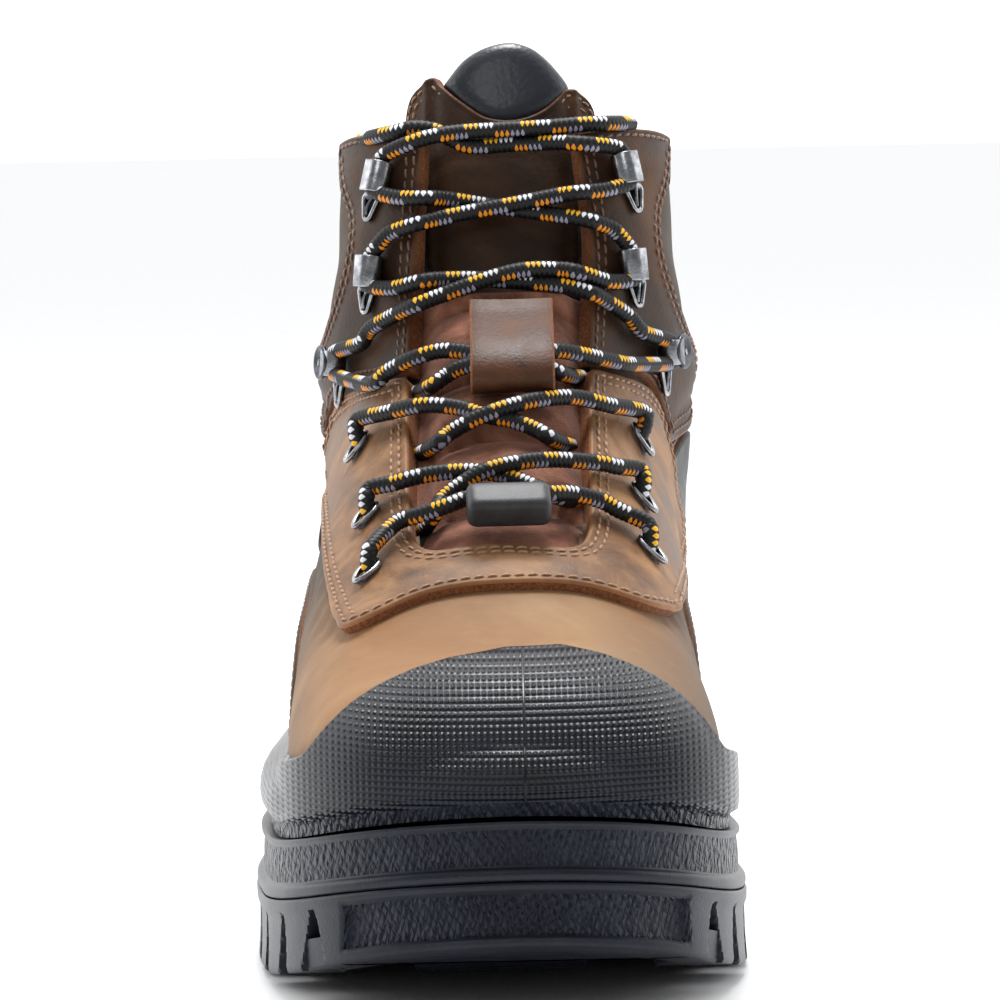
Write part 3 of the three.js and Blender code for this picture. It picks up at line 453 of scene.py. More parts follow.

# %% [markdown]
# ## Creases
# Leather that bends every day keeps a few soft folds: across the vamp behind the toe cap, at the ankle
# where the shaft leans, and above the heel counter. A cloth simulation would scatter them at random.
# They are drawn instead, each as a line with a depth and a width: a trough where the depth is
# negative, a ridge where it is positive. They are pressed into the last's grid before any panel is laid
# on it, so that panels and upper bend together.

# %% Press the creases into the last
CREASES = [
    # view, depth, width, points across and up in millimetres
    ("front", -0.8, 3.2, [(-47, 84), (-38, 76), (-27, 78.5)]),
    ("front", 0.6, 3.2, [(-48, 91), (-40, 80.5), (-30, 81)]),
    ("front", -0.7, 3.0, [(49, 84), (41, 77), (32, 79)]),
    ("lateral", -1.1, 4.0, [(20, 104), (45, 99), (70, 103), (92, 99)]),
    ("lateral", 0.9, 4.5, [(28, 112), (50, 107), (74, 111), (98, 107)]),
    ("lateral", -1.0, 3.8, [(34, 121), (56, 116), (80, 120), (104, 116)]),
    ("lateral", 0.7, 5.0, [(44, 130), (66, 126), (90, 130), (112, 127)]),
    ("lateral", -0.9, 3.5, [(-22, 72), (2, 82), (22, 96)]),
    ("lateral", 0.6, 4.0, [(-34, 66), (-8, 73), (16, 84)]),
    ("lateral", -0.7, 5.0, [(84, 168), (100, 150), (112, 136)]),
    ("medial", -1.1, 4.0, [(18, 102), (44, 98), (68, 102), (90, 98)]),
    ("medial", 0.9, 4.5, [(26, 110), (50, 106), (72, 110), (96, 106)]),
    ("medial", -1.0, 3.8, [(36, 120), (58, 115), (82, 119), (104, 115)]),
    ("medial", 0.7, 5.0, [(46, 130), (68, 125), (92, 129), (114, 126)]),
    ("medial", -0.9, 3.5, [(-24, 70), (0, 80), (20, 94)]),
    ("medial", 0.6, 4.0, [(-36, 64), (-10, 71), (14, 82)]),
    ("back", -0.6, 5.0, [(-26, 128), (0, 123), (26, 128)]),
    ("back", 0.5, 5.0, [(-26, 138), (0, 134), (26, 138)]),
]


def line_points(view, corners, step=1.0):
    """Points on the last along straight lines between corners of a view."""
    found = []
    for start, end in zip(corners, corners[1:]):
        count = max(int(math.dist(start, end) / step), 1)
        for j in range(count):
            t = j / count
            found.append(find(view, start[0] + t * (end[0] - start[0]), start[1] + t * (end[1] - start[1])))
    found.append(find(view, *corners[-1]))
    return np.array(found)


def crease_height(points):
    """How far the creases move each point of the last out, in millimetres."""
    height = np.zeros(len(points))
    for view, depth, width, corners in CREASES:
        smooth_corners = through([np.array([corner]) for corner in corners], 6)[:, 0, :]
        line = sample(last_grid, line_points(view, [tuple(c) for c in smooth_corners], 2.0))
        near = np.where(np.linalg.norm(points - line.mean(axis=0), axis=1) < 75)[0]
        if len(near) == 0:
            continue
        gaps = np.linalg.norm(points[near, None, :] - line[None, :, :], axis=2)
        nearest = gaps.argmin(axis=1)
        along = nearest / (len(line) - 1)
        fade = np.sin(np.pi * np.clip(along, 0.02, 0.98)) ** 0.7
        height[near] += depth * fade * np.exp(-(gaps.min(axis=1) / width) ** 2)
    return height


flat_points = last_grid.reshape(-1, 3)
flat_normals = last_normals.reshape(-1, 3)
pressed = crease_height(flat_points)
last_grid = (flat_points + pressed[:, None] * flat_normals).reshape(last_grid.shape)
last_normals = grid_normals(last_grid)
last_tree = tree_of(last_grid)
print("creases from", pressed.min().round(2), "to", pressed.max().round(2), "mm")

# %% [markdown]
# ## Making meshes
# One helper turns millimetre points into a Blender object that rides on the frame's only body. Flat
# maps are written in millimetres too, so that a pattern in a finish can be given its real pitch.


# %% Mesh helper
def make_piece(name, points, faces, finishes, finish_of=None, flat_map=None, marks=None, sharp=40.0,
               instead_of=(), slot=None):
    """A mesh object from millimetre points. flat_map: a corner's u and v for each face corner."""
    mesh = bpy.data.meshes.new(name)
    mesh.from_pydata((np.asarray(points) * MM).tolist(), [], [list(map(int, face)) for face in faces])
    for finish in finishes:
        mesh.materials.append(finish)
    mesh.polygons.foreach_set("use_smooth", [True] * len(mesh.polygons))
    if finish_of is not None:
        mesh.polygons.foreach_set("material_index", np.asarray(finish_of, dtype=np.int32))
    if flat_map is not None:
        layer = mesh.uv_layers.new(name="flat_map")
        layer.uv.foreach_set("vector", np.asarray(flat_map, dtype=np.float32).ravel())
    for mark, values in (marks or {}).items():
        attribute = mesh.attributes.new(mark, "FLOAT", "POINT")
        attribute.data.foreach_set("value", np.asarray(values, dtype=np.float32))
    mesh.update()
    if sharp is not None:
        mesh.set_sharp_from_angle(angle=math.radians(sharp))
    piece = bpy.data.objects.new(name, mesh)
    bpy.context.collection.objects.link(piece)
    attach(piece, "root")
    if instead_of:
        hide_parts(*instead_of)
    return piece


class Pile:
    """Gathers small meshes, such as stitches, into one."""

    def __init__(self):
        self.points = []
        self.faces = []
        self.finish_of = []
        self.flat_map = []
        self.count = 0

    def add(self, points, faces, finish=0, flat_map=None):
        points = np.asarray(points)
        self.points.append(points)
        for face in faces:
            self.faces.append([int(corner) + self.count for corner in face])
            self.finish_of.append(finish)
        if flat_map is not None:
            self.flat_map.append(np.asarray(flat_map))
        self.count += len(points)

    def piece(self, name, finishes, **more):
        flat_map = np.concatenate(self.flat_map) if self.flat_map else None
        return make_piece(name, np.concatenate(self.points), self.faces, finishes, self.finish_of,
                          flat_map=flat_map, **more)


# %% [markdown]
# ## Sweeps
# Wire, cord and rolled edges are all a section carried along a path. The frame that carries the section
# is handed on from point to point without turning about the path, so nothing twists. It starts from a
# hint, or follows a list of hints, such as the way out of the boot.


# %% Sweep helpers
def ring_faces(rings, count):
    """Faces between rings of equal count, from the lowest ring up, facing outwards."""
    i, k = np.meshgrid(np.arange(rings - 1), np.arange(count), indexing="ij")
    a = i * count + k
    b = i * count + (k + 1) % count
    return np.stack([a, b, b + count, a + count], axis=-1).reshape(-1, 4)


def end_faces(rings, count):
    """The faces that close the first and the last ring."""
    return [list(range(count))[::-1], [(rings - 1) * count + k for k in range(count)]]


def sheet_faces(rows, count):
    """Faces of an open sheet of points."""
    i, k = np.meshgrid(np.arange(rows - 1), np.arange(count - 1), indexing="ij")
    a = i * count + k
    return np.stack([a, a + 1, a + 1 + count, a + count], axis=-1).reshape(-1, 4)


def frames_along(path, hints, closed=False):
    """Unit vectors along a path, towards the hints, and across both. hints: one vector or one a point."""
    along = np.roll(path, -1, axis=0) - np.roll(path, 1, axis=0) if closed else np.gradient(path, axis=0)
    along /= np.maximum(np.linalg.norm(along, axis=1, keepdims=True), 1e-9)
    out = np.broadcast_to(np.asarray(hints, dtype=float), path.shape).copy()
    out -= along * (along * out).sum(axis=1, keepdims=True)
    out /= np.maximum(np.linalg.norm(out, axis=1, keepdims=True), 1e-9)
    return along, out, np.cross(along, out)


def sweep(pile, path, section, hints, finish=0, closed=False):
    """Carries a section of (out, side) points along a path."""
    path = np.asarray(path, dtype=float)
    _, out, side = frames_along(path, hints, closed)
    rings = path[:, None] + section[None, :, :1] * out[:, None] + section[None, :, 1:] * side[:, None]
    count = len(section)
    faces = ring_faces(len(path), count).tolist()
    if closed:
        last = (len(path) - 1) * count
        faces += [[last + k, last + (k + 1) % count, (k + 1) % count, k] for k in range(count)]
    else:
        faces += end_faces(len(path), count)
    pile.add(rings.reshape(-1, 3), faces, finish)


def round_section(radius, sides=12):
    angle = np.arange(sides) * 2 * np.pi / sides
    return np.stack([radius * np.cos(angle), radius * np.sin(angle)], axis=1)


# %% [markdown]
# ## Panels
# A panel is a piece of leather with a real thickness: a closed outline on the last, a top surface that
# rounds over at the cut edge, and an edge wall down to the layer below. The outline's points go into a
# constrained triangulation together with a few lines just inside the edge, where the form turns, and a
# plain grid inside them. Every point then stands off the last by the panel's thickness, less at its
# edge and in its sewn channels.


# %% Panel outlines
def curved(corners, steps=4):
    """A smooth line through the corners of a part."""
    if len(corners) < 3:
        return corners
    return [tuple(c) for c in through(np.array(corners, dtype=float)[:, None], steps)[:, 0]]


def closed_line(chain, step=1.0, round_over=2.0):
    """A closed line of places from (view, corners) parts, evenly spaced, with its corners rounded.
    Returns the places and the index at which each part starts."""
    parts = [line_points(view, curved(corners), 1.5) for view, corners in chain]
    starts = np.cumsum([0] + [len(part) for part in parts[:-1]])
    places = np.concatenate(parts)
    places[:, 1] = np.unwrap(places[:, 1], period=AROUND)
    looped = np.concatenate([places, places[:1]])
    looped[-1, 1] = places[0, 1] + AROUND * round((places[-1, 1] - places[0, 1]) / AROUND)
    length = lengths_along(sample(last_grid, looped))
    count = int(length[-1] / step)
    line = at_lengths(np.arange(count) * length[-1] / count, length, looped)
    marks = [int(round(length[s] / length[-1] * count)) for s in starts]
    reach = max(int(3 * round_over / step), 1)
    offsets = np.arange(-reach, reach + 1)
    weights = np.exp(-(offsets * step / round_over) ** 2)
    weights /= weights.sum()
    line = sum(w * np.roll(line, -o, axis=0) for o, w in zip(offsets, weights))
    return line, marks


def surface_steps(places):
    """How the last's surface moves for one row and for one turn, at each place."""
    by_row = sample(last_grid, places + (0.5, 0)) - sample(last_grid, places - (0.5, 0))
    by_turn = sample(last_grid, places + (0, 0.5)) - sample(last_grid, places - (0, 0.5))
    return by_row, by_turn


def step_along(places, moves):
    """Places moved by vectors in millimetres that lie on the surface."""
    by_row, by_turn = surface_steps(places)
    rr = (by_row * by_row).sum(axis=1)
    tt = (by_turn * by_turn).sum(axis=1)
    rt = (by_row * by_turn).sum(axis=1)
    mr = (by_row * moves).sum(axis=1)
    mt = (by_turn * moves).sum(axis=1)
    area = np.maximum(rr * tt - rt * rt, 1e-9)
    return places + np.stack([(mr * tt - mt * rt) / area, (mt * rr - mr * rt) / area], axis=1)


def turns_left(line):
    """True if the closed line runs anticlockwise in rows and turns."""
    nxt = np.roll(line, -1, axis=0)
    return (line[:, 0] * nxt[:, 1] - nxt[:, 0] * line[:, 1]).sum() > 0


def inset(line, distance):
    """The closed line moved in from the edge by a distance."""
    spots = sample(last_grid, line)
    along = np.roll(spots, -1, axis=0) - np.roll(spots, 1, axis=0)
    along /= np.maximum(np.linalg.norm(along, axis=1, keepdims=True), 1e-9)
    inward = np.cross(sample(last_normals, line), along)
    if not turns_left(line):
        inward = -inward
    trial = step_along(line, inward * 0.5)
    if inside(line, trial).mean() < 0.5:
        inward = -inward
    return step_along(line, inward * distance)


def inside(line, places):
    """Which places lie inside a closed line."""
    x, y = places[:, 0][:, None], places[:, 1][:, None]
    x0, y0 = line[:, 0][None], line[:, 1][None]
    x1, y1 = np.roll(line[:, 0], -1)[None], np.roll(line[:, 1], -1)[None]
    crosses = (y0 > y) != (y1 > y)
    at = x0 + (y - y0) * (x1 - x0) / np.where(np.abs(y1 - y0) < 1e-12, 1e-12, y1 - y0)
    return (np.sum(crosses & (x < at), axis=1) % 2) == 1


def edge_distance(line, places):
    """How far each place is from the closed line, in millimetres."""
    spots = sample(last_grid, line)
    search = KDTree(len(spots) * 2)
    middles = (spots + np.roll(spots, -1, axis=0)) / 2
    for i, spot in enumerate(np.concatenate([spots, middles])):
        search.insert(Vector(spot), i)
    search.balance()
    return np.array([search.find(Vector(p))[2] for p in sample(last_grid, places)])


def fill_line(line, distances, clear, spacing, stagger):
    """Triangles inside a closed line, through lines at distances in from it and a plain grid. clear: the
    share of its distance that such a line has to keep. stagger: how far each second row of the grid is
    shifted. Returns places, faces, and for each place the numbers of the points it came from."""
    places = [line]
    for distance in distances:
        ring = inset(line, distance)
        places.append(ring[(edge_distance(line, ring) > clear * distance) & inside(line, ring)])
    scale = np.array([np.linalg.norm(step, axis=1).mean() for step in surface_steps(line)])
    low, high = line.min(axis=0), line.max(axis=0)
    field = np.stack(np.meshgrid(np.arange(low[0], high[0], spacing / scale[0]),
                                 np.arange(low[1], high[1], spacing / scale[1]), indexing="ij"), axis=-1)
    field[1::2, :, 1] += stagger * spacing / scale[1]
    field = field.reshape(-1, 2)
    field = field[inside(line, field)]
    places.append(field[edge_distance(line, field) > distances[-1] + 0.6 * spacing])
    count = len(line)
    borders = [(i, (i + 1) % count) for i in range(count)]
    flat = [Vector(p) for p in np.concatenate(places) * scale]
    found, _, faces, sources, _, _ = geometry.delaunay_2d_cdt(flat, borders, [list(range(count))], 1, 1e-5)
    return np.array([tuple(v) for v in found]) / scale, faces, sources


def faces_inward(points, face, out):
    """True if a face looks against the way out."""
    a, b, c = (points[corner] for corner in face[:3])
    return np.cross(b - a, c - a) @ out < 0


# %% Panel mesh
EDGE_SHARES = (0.12, 0.35, 0.65, 1.0)
LINES_PAST_EDGE = (0.6, 1.4, 2.3)


def lay_panel(name, line, top, finishes, base=0.3, edge=0.8, depth=0.4, spacing=2.0, relief=None, **more):
    """A panel over the last. top: height of its face off the last. base: height of its underside.
    edge: radius of its cut edge. depth: how far the edge wall goes below the underside.
    relief: extra height from (distance to the edge, places)."""
    distances = [edge * share for share in EDGE_SHARES] + [edge + extra for extra in LINES_PAST_EDGE]
    where, faces, sources = fill_line(line, distances, 0.93, spacing, 0.5)
    count = len(line)
    used = sorted({corner for face in faces for corner in face})
    order = {old: new for new, old in enumerate(used)}
    where = where[used]
    faces = [[order[c] for c in face] for face in faces]
    border_of = {}
    for new, old in enumerate(used):
        for source in sources[old]:
            if source < count:
                border_of[source] = new
    distance = edge_distance(line, where)
    distance[list(border_of.values())] = 0
    over = np.clip(distance / edge, 0, 1)
    height = top - edge * (1 - np.sqrt(np.clip(1 - (1 - over) ** 2, 0, 1)))
    if relief is not None:
        height = height + relief(distance, where)
    out = sample(last_normals, where)
    points = sample(last_grid, where) + height[:, None] * out
    if faces_inward(points, faces[0], out[faces[0][0]]):
        faces = [face[::-1] for face in faces]
    finish_of = [0] * len(faces)
    ring_ids = [border_of.get(i) for i in range(count)]
    walls = []
    for drop in (0.5, 1.0):
        level = (top - edge) * (1 - drop) + (base - depth) * drop
        walls.append(sample(last_grid, line) + level * sample(last_normals, line))
    total = len(points)
    points = np.concatenate([points] + walls)
    levels = [ring_ids, list(range(total, total + count)), list(range(total + count, total + 2 * count))]
    wall_faces = []
    for upper_ids, lower_ids in zip(levels, levels[1:]):
        for i in range(count):
            j = (i + 1) % count
            if upper_ids[i] is not None and upper_ids[j] is not None:
                wall_faces.append([upper_ids[i], upper_ids[j], lower_ids[j], lower_ids[i]])
    inward = sample(last_grid, inset(line, 1.0)[:1])[0] - sample(last_grid, line[:1])[0]
    if faces_inward(points, wall_faces[0], -inward):
        wall_faces = [face[::-1] for face in wall_faces]
    middle = points[:total].mean(axis=0)
    faces += wall_faces
    finish_of += [1] * len(wall_faces)
    marks = {"from_edge": np.concatenate([distance, np.zeros(2 * count)])}
    piece = make_piece(name, points, faces, finishes, finish_of, marks=marks, sharp=55, **more)
    print(name, len(faces), "faces, middle", middle.round(0))
    return piece


# %% [markdown]
# ## Stitches
# A lockstitch shows as a row of short thread lengths, each pulled into the leather at both ends. They
# could be bump in a shader, but the light tan thread stands proud and catches light, so each stitch is a
# small capsule that dips at its ends. The pitch on a work boot is about three millimetres.

# %% Stitch rows
STITCH_PITCH = 3.1
THREAD_RADIUS = 0.36


THREAD_SIDES = 6
STITCH_SLANT = 0.12
STITCH_FORM = [
    # share of the length from the middle, share of the radius, how deep it sinks in radii
    (-0.5, 0.45, -0.75), (-0.38, 0.85, -0.25), (-0.16, 1.0, 0.05),
    (0.16, 1.0, 0.05), (0.38, 0.85, -0.25), (0.5, 0.45, -0.75),
]


def stitch_shape(length):
    """One stitch along x, with z out of the leather."""
    ring = round_section(THREAD_RADIUS, THREAD_SIDES)
    points = [(station * length, width * across, sink * THREAD_RADIUS + width * up)
              for station, width, sink in STITCH_FORM for across, up in ring]
    faces = ring_faces(len(STITCH_FORM), THREAD_SIDES).tolist() + end_faces(len(STITCH_FORM), THREAD_SIDES)
    return np.array(points), [face[::-1] for face in faces]


def sew(pile, spots, normals, pitch):
    """Adds stitches along a line of points with normals."""
    length = lengths_along(spots)
    shape, faces = stitch_shape(0.8 * pitch)
    middles = np.arange(pitch / 2, length[-1], pitch)
    ways = at_lengths(middles + pitch / 3, length, spots) - at_lengths(middles - pitch / 3, length, spots)
    places, outs = at_lengths(middles, length, spots), at_lengths(middles, length, normals)
    for here, out, along in zip(places, outs, ways):
        out = out / np.linalg.norm(out)
        along = along - out * (along @ out)
        along /= max(np.linalg.norm(along), 1e-9)
        across = np.cross(out, along)
        axes = np.stack([along + STITCH_SLANT * across, across - STITCH_SLANT * along, out])
        pile.add(here + shape @ axes, faces)


def sew_edge(pile, line, distance, height, start=0, end=None, pitch=STITCH_PITCH):
    """Stitches at a distance in from a panel's edge, between two indices of its outline."""
    path = inset(line, distance)
    clear = edge_distance(line, path) > 0.9 * distance
    count = len(line)
    end = count if end is None else end
    picked = [i % count for i in range(start, end if end > start else end + count)]
    run = []
    for i in picked + [None]:
        if i is not None and clear[i]:
            run.append(i)
            continue
        if len(run) > 4:
            places = path[run]
            out = sample(last_normals, places)
            sew(pile, sample(last_grid, places) + height * out, out, pitch)
        run = []


# %% [markdown]
# ## Leathers
# The upper is waxed, oiled nubuck: full grain leather, sanded to a short nap and filled with wax. It is
# nearly matt, a little glossier where the wax lies thick, and it pales where it is rubbed. Its grain is
# fine, under a millimetre. The cut edges show the undyed middle of the hide, an orange brown.


# %% Leather finishes
def nubuck_grain(tree, place):
    """Relief of a sanded grain: cells under a millimetre wide, and wider pores."""
    grain = add(tree, "TexVoronoi", {"Vector": place}, {"Scale": 1000 / 0.75})
    pores = add(tree, "TexNoise", {"Vector": place}, {"Scale": 1000 / 1.6, "Detail": 4.0, "Roughness": 0.65})
    return calculate(tree, "ADD", calculate(tree, "MULTIPLY", (grain, 0), 0.45), (pores, 0))


def oiled_nubuck(name, dark, middle, light, worn, patch=38.0):
    """Waxed nubuck. Swatches: in the hollows, plain, where rubbed, and along worn edges.
    patch: size in millimetres of the cloudy areas that the wax leaves."""
    material, tree, shader, place = new_finish(name, 0.62, ior=1.4, Specular_IOR_Level=0.3)
    clouds = add(tree, "TexNoise", {"Vector": place},
                 {"Scale": 1000 / patch, "Detail": 5.0, "Roughness": 0.62, "Distortion": 0.5})
    tone = ramp(tree, (clouds, 0), [(0.28, dark), (0.5, middle), (0.72, light)])
    rubs = add(tree, "TexNoise", {"Vector": place},
               {"Scale": 190.0, "Detail": 6.0, "Roughness": 0.7})
    rub_share = ramp(tree, (rubs, 0), [(0.5, "000000"), (0.8, "8c8c8c")])
    rubbed = blend_colours(tree, (rub_share, 0), (tone, 0), light)
    edge = add(tree, "Attribute", attribute_name="from_edge")
    near = calculate(tree, "SUBTRACT", 1.0, calculate(tree, "DIVIDE", (edge, "Fac"), 0.9), clamp=True)
    edged = blend_colours(tree, calculate(tree, "MULTIPLY", near, 0.6), rubbed, worn)
    dress(tree, shader, edged, nubuck_grain(tree, place), 0.35, 0.00028)
    gloss = ramp(tree, (clouds, 0), [(0.3, "acacac"), (0.7, "cacaca")])
    tree.links.new(gloss.outputs[0], shader.inputs["Roughness"])
    return material


shaft_nubuck = oiled_nubuck("waxed_nubuck_shaft", "1e120a", "342113", "543823", "7a4c2d", patch=26.0)
dark_nubuck = oiled_nubuck("waxed_nubuck_dark", "17130e", "231b14", "30251a", "4c321e")
flap_nubuck = oiled_nubuck("waxed_nubuck_flap", "3f2a1c", "745338", "a07a56", "a66f45", patch=17.0)
keeper_nubuck = oiled_nubuck("waxed_nubuck_keeper", "3a2215", "4f301e", "66432c", "8a5a3a", patch=14.0)


def vamp_nubuck():
    """Waxed nubuck: tan over the toe, darker towards the shaft and the sole, painted shade at the sides."""
    material, tree, shader, place = new_finish("waxed_nubuck_vamp", 0.66, ior=1.4, Specular_IOR_Level=0.35)
    clouds = add(tree, "TexNoise", {"Vector": place},
                 {"Scale": 1000 / 42, "Detail": 5.0, "Roughness": 0.6, "Distortion": 0.6})
    tan = ramp(tree, (clouds, 0), [(0.27, "684c34"), (0.48, "876748"), (0.7, "a2835f")])
    olive = ramp(tree, (clouds, 0), [(0.27, "241c14"), (0.5, "36291d"), (0.72, "4a3826")])
    parts = add(tree, "SeparateXYZ", {"Vector": place})
    wander = calculate(tree, "MULTIPLY", calculate(tree, "SUBTRACT", (clouds, 0), 0.5), 0.05)
    back = add(tree, "MapRange", {"Value": calculate(tree, "ADD", (parts, "Y"), wander)},
               {"From Min": -0.075, "From Max": -0.015})
    shaded = blend_colours(tree, (back, 0), (tan, 0), (olive, 0))
    low = add(tree, "MapRange", {"Value": calculate(tree, "ADD", (parts, "Z"), wander)},
              {"From Min": 0.086, "From Max": 0.068})
    side = add(tree, "MapRange", {"Value": calculate(tree, "ABSOLUTE", (parts, "X"))},
               {"From Min": 0.05, "From Max": 0.03})
    glow = calculate(tree, "MULTIPLY", (low, 0), (side, 0))
    warm = blend_colours(tree, calculate(tree, "MULTIPLY", glow, 0.4), shaded, "9c6a3a")
    rubs = add(tree, "TexNoise", {"Vector": place},
               {"Scale": 170.0, "Detail": 6.0, "Roughness": 0.72})
    rub_share = ramp(tree, (rubs, 0), [(0.52, "000000"), (0.85, "767676")])
    # Painted shade: both sides of the vamp are darkened towards grey-brown, the right side most.
    right = add(tree, "MapRange", {"Value": calculate(tree, "ADD", (parts, "X"), wander)},
                {"From Min": 0.022, "From Max": 0.052, "To Max": 0.85})
    left = add(tree, "MapRange", {"Value": calculate(tree, "ADD", (parts, "X"), wander)},
               {"From Min": -0.034, "From Max": -0.056, "To Max": 0.45})
    waxed_and_side_shaded = blend_colours(tree, (right, 0), warm, "3f362c")
    waxed_and_side_shaded = blend_colours(tree, (left, 0), waxed_and_side_shaded, "5c5044")
    rubbed = blend_colours(tree, (rub_share, 0), waxed_and_side_shaded, "b08a5c")
    dress(tree, shader, rubbed, nubuck_grain(tree, place), 0.3, 0.00025)
    return material


vamp_leather = vamp_nubuck()


def cut_edge():
    """The raw edge of the hide: packed fibre, a dull orange brown."""
    material, tree, shader, place = new_finish("raw_leather_edge", 0.85, ior=1.45)
    fibre = add(tree, "TexNoise", {"Vector": place}, {"Scale": 1500.0, "Detail": 3.0})
    tone = ramp(tree, (fibre, 0), [(0.3, "55301a"), (0.55, "7c4a28"), (0.8, "96602f")])
    dress(tree, shader, (tone, 0), (fibre, 0), 0.5, 0.0003)
    return material


raw_edge = cut_edge()


def thread(name, dark, light):
    """Bonded polyester thread: twisted, with a slight gloss."""
    material, tree, shader, place = new_finish(name, 0.5, ior=1.52, Sheen_Weight=0.2)
    fibre = add(tree, "TexNoise", {"Vector": place}, {"Scale": 2500.0, "Detail": 2.0})
    tone = ramp(tree, (fibre, 0), [(0.3, dark), (0.7, light)])
    dress(tree, shader, (tone, 0))
    return material


tan_thread = thread("tan_thread", "7d5639", "ab8058")
brown_thread = thread("brown_thread", "5a3a26", "80593c")


def woven_cloth(name, dark, light, pitch):
    """A plain woven lining. pitch: thread spacing in millimetres."""
    material, tree, shader, place = new_finish(name, 0.92, ior=1.45, Sheen_Weight=0.25, Sheen_Roughness=0.5)
    threads = [add(tree, "TexWave", {"Vector": place}, {"Scale": 50 / pitch}, bands_direction=direction)
               for direction in ("Z", "DIAGONAL")]
    woven = calculate(tree, "MAXIMUM", (threads[0], 1), (threads[1], 1))
    soil = add(tree, "TexNoise", {"Vector": place}, {"Scale": 60.0, "Detail": 3.0})
    tone = ramp(tree, (soil, 0), [(0.3, dark), (0.7, light)])
    shade = calculate(tree, "ADD", calculate(tree, "MULTIPLY", woven, 0.4), 0.6)
    dress(tree, shader, blend_colours(tree, 1.0, (tone, 0), shade, "MULTIPLY"), woven, 0.6, 0.0003)
    return material


lining_cloth = woven_cloth("woven_lining", "17181a", "25262a", 0.7)
ankle_cloth = woven_cloth("ballistic_cloth", "0e0f11", "1c1d20", 1.4)


def padded_leather():
    """Smooth coated leather over foam: fine pebbled grain and a soft gloss."""
    material, tree, shader, place = new_finish("slate_coated_leather", 0.36, Coat_Weight=0.08,
                                               Coat_Roughness=0.3)
    clouds = add(tree, "TexNoise", {"Vector": place}, {"Scale": 45.0, "Detail": 4.0})
    tone = ramp(tree, (clouds, 0), [(0.3, "14171e"), (0.7, "20242e")])
    pebble = add(tree, "TexVoronoi", {"Vector": place}, {"Scale": 1000 / 1.1}, feature="SMOOTH_F1")
    dress(tree, shader, (tone, 0), (pebble, 0), 0.3, 0.0003)
    return material


slate_padding = padded_leather()


def split_suede():
    """Suede from the flesh side of the hide: deep nap that goes pale and dark as it is brushed."""
    material, tree, shader, place = new_finish("brown_split_suede", 0.95, ior=1.4, Sheen_Weight=0.1,
                                               Sheen_Roughness=0.45)
    brushed = add(tree, "TexNoise", {"Vector": place},
                  {"Scale": 70.0, "Detail": 5.0, "Roughness": 0.65, "Distortion": 0.8})
    tone = ramp(tree, (brushed, 0), [(0.28, "4d2a1d"), (0.5, "7c4f3c"), (0.74, "a06d57")])
    nap = add(tree, "TexNoise", {"Vector": place}, {"Scale": 1800.0, "Detail": 4.0})
    relief = calculate(tree, "ADD", (nap, 0), calculate(tree, "MULTIPLY", (brushed, 0), 0.6))
    dress(tree, shader, (tone, 0), relief, 0.5, 0.0006)
    return material


guard_suede = split_suede()

# %% [markdown]
# ## The upper
# The upper is one hollow shell. Its outside is the last itself, and its lining lies a wall's thickness
# inside. Both are taken from the fine grid by leaving out the cells over the throat, above the collar
# and deep in the sole. The panels on top hide those cell edges, as the real panels hide the cut edge.

# %% Throat and collar lines
THROAT = [
    # share of half the ball width across, share of the collar height up
    (-0.3, 1.25), (-0.29, 0.96), (-0.325, 0.835), (-0.365, 0.66), (-0.37, 0.55), (-0.29, 0.5),
    (0.034, 0.483), (0.36, 0.498), (0.445, 0.55), (0.45, 0.66), (0.488, 0.835), (0.44, 0.96), (0.45, 1.25),
]
WALL = 2.2
OUTER_MARGIN, OUTER_FLOOR = 1.6, 38.0
LINING_MARGIN, LINING_FLOOR = 0.6, 34.0


def from_front(rows):
    """Pattern shares seen from the front, in millimetres."""
    return [(across * BALL_WIDTH / 2, up * COLLAR_HEIGHT) for across, up in rows]


def from_side(rows):
    """Pattern shares seen from a side, in millimetres."""
    return [(along * BOOT_LENGTH, up * COLLAR_HEIGHT) for along, up in rows]


def collar_line(y):
    """Height of the collar's edge at y."""
    return COLLAR_EDGE - COLLAR_DIP * smooth((y / BOOT_LENGTH - 0.15) / (0.42 - 0.15))


def in_polygon(corners, x, z):
    found = np.zeros(len(x), dtype=bool)
    for (x0, z0), (x1, z1) in zip(corners, corners[1:] + corners[:1]):
        crosses = (z0 > z) != (z1 > z)
        at = x0 + (z - z0) * (x1 - x0) / (z1 - z0 if z1 != z0 else 1e-9)
        found ^= crosses & (x < at)
    return found


# %% Upper shell
def shell_faces(margin, floor_height):
    """Faces of the grid that belong to the upper, kept back from its edges by a margin."""
    faces = grid_faces(TOP_ROW + 1, AROUND)
    middles = last_grid.reshape(-1, 3)[faces].mean(axis=1)
    turn = np.tile(np.arange(AROUND), TOP_ROW)
    front = (turn > 0.22 * AROUND) & (turn < 0.78 * AROUND)
    middle_x = 0.06 * BALL_WIDTH / 2
    throat = [(middle_x + (x - middle_x) * (1 + margin / 18), z - margin) for x, z in from_front(THROAT)]
    open_throat = front & in_polygon(throat, middles[:, 0], middles[:, 2])
    above = middles[:, 2] > collar_line(middles[:, 1]) - 1.0 - margin / 2
    below = middles[:, 2] < floor_height + lift(middles[:, 1])
    return faces[~(open_throat | above | below)]


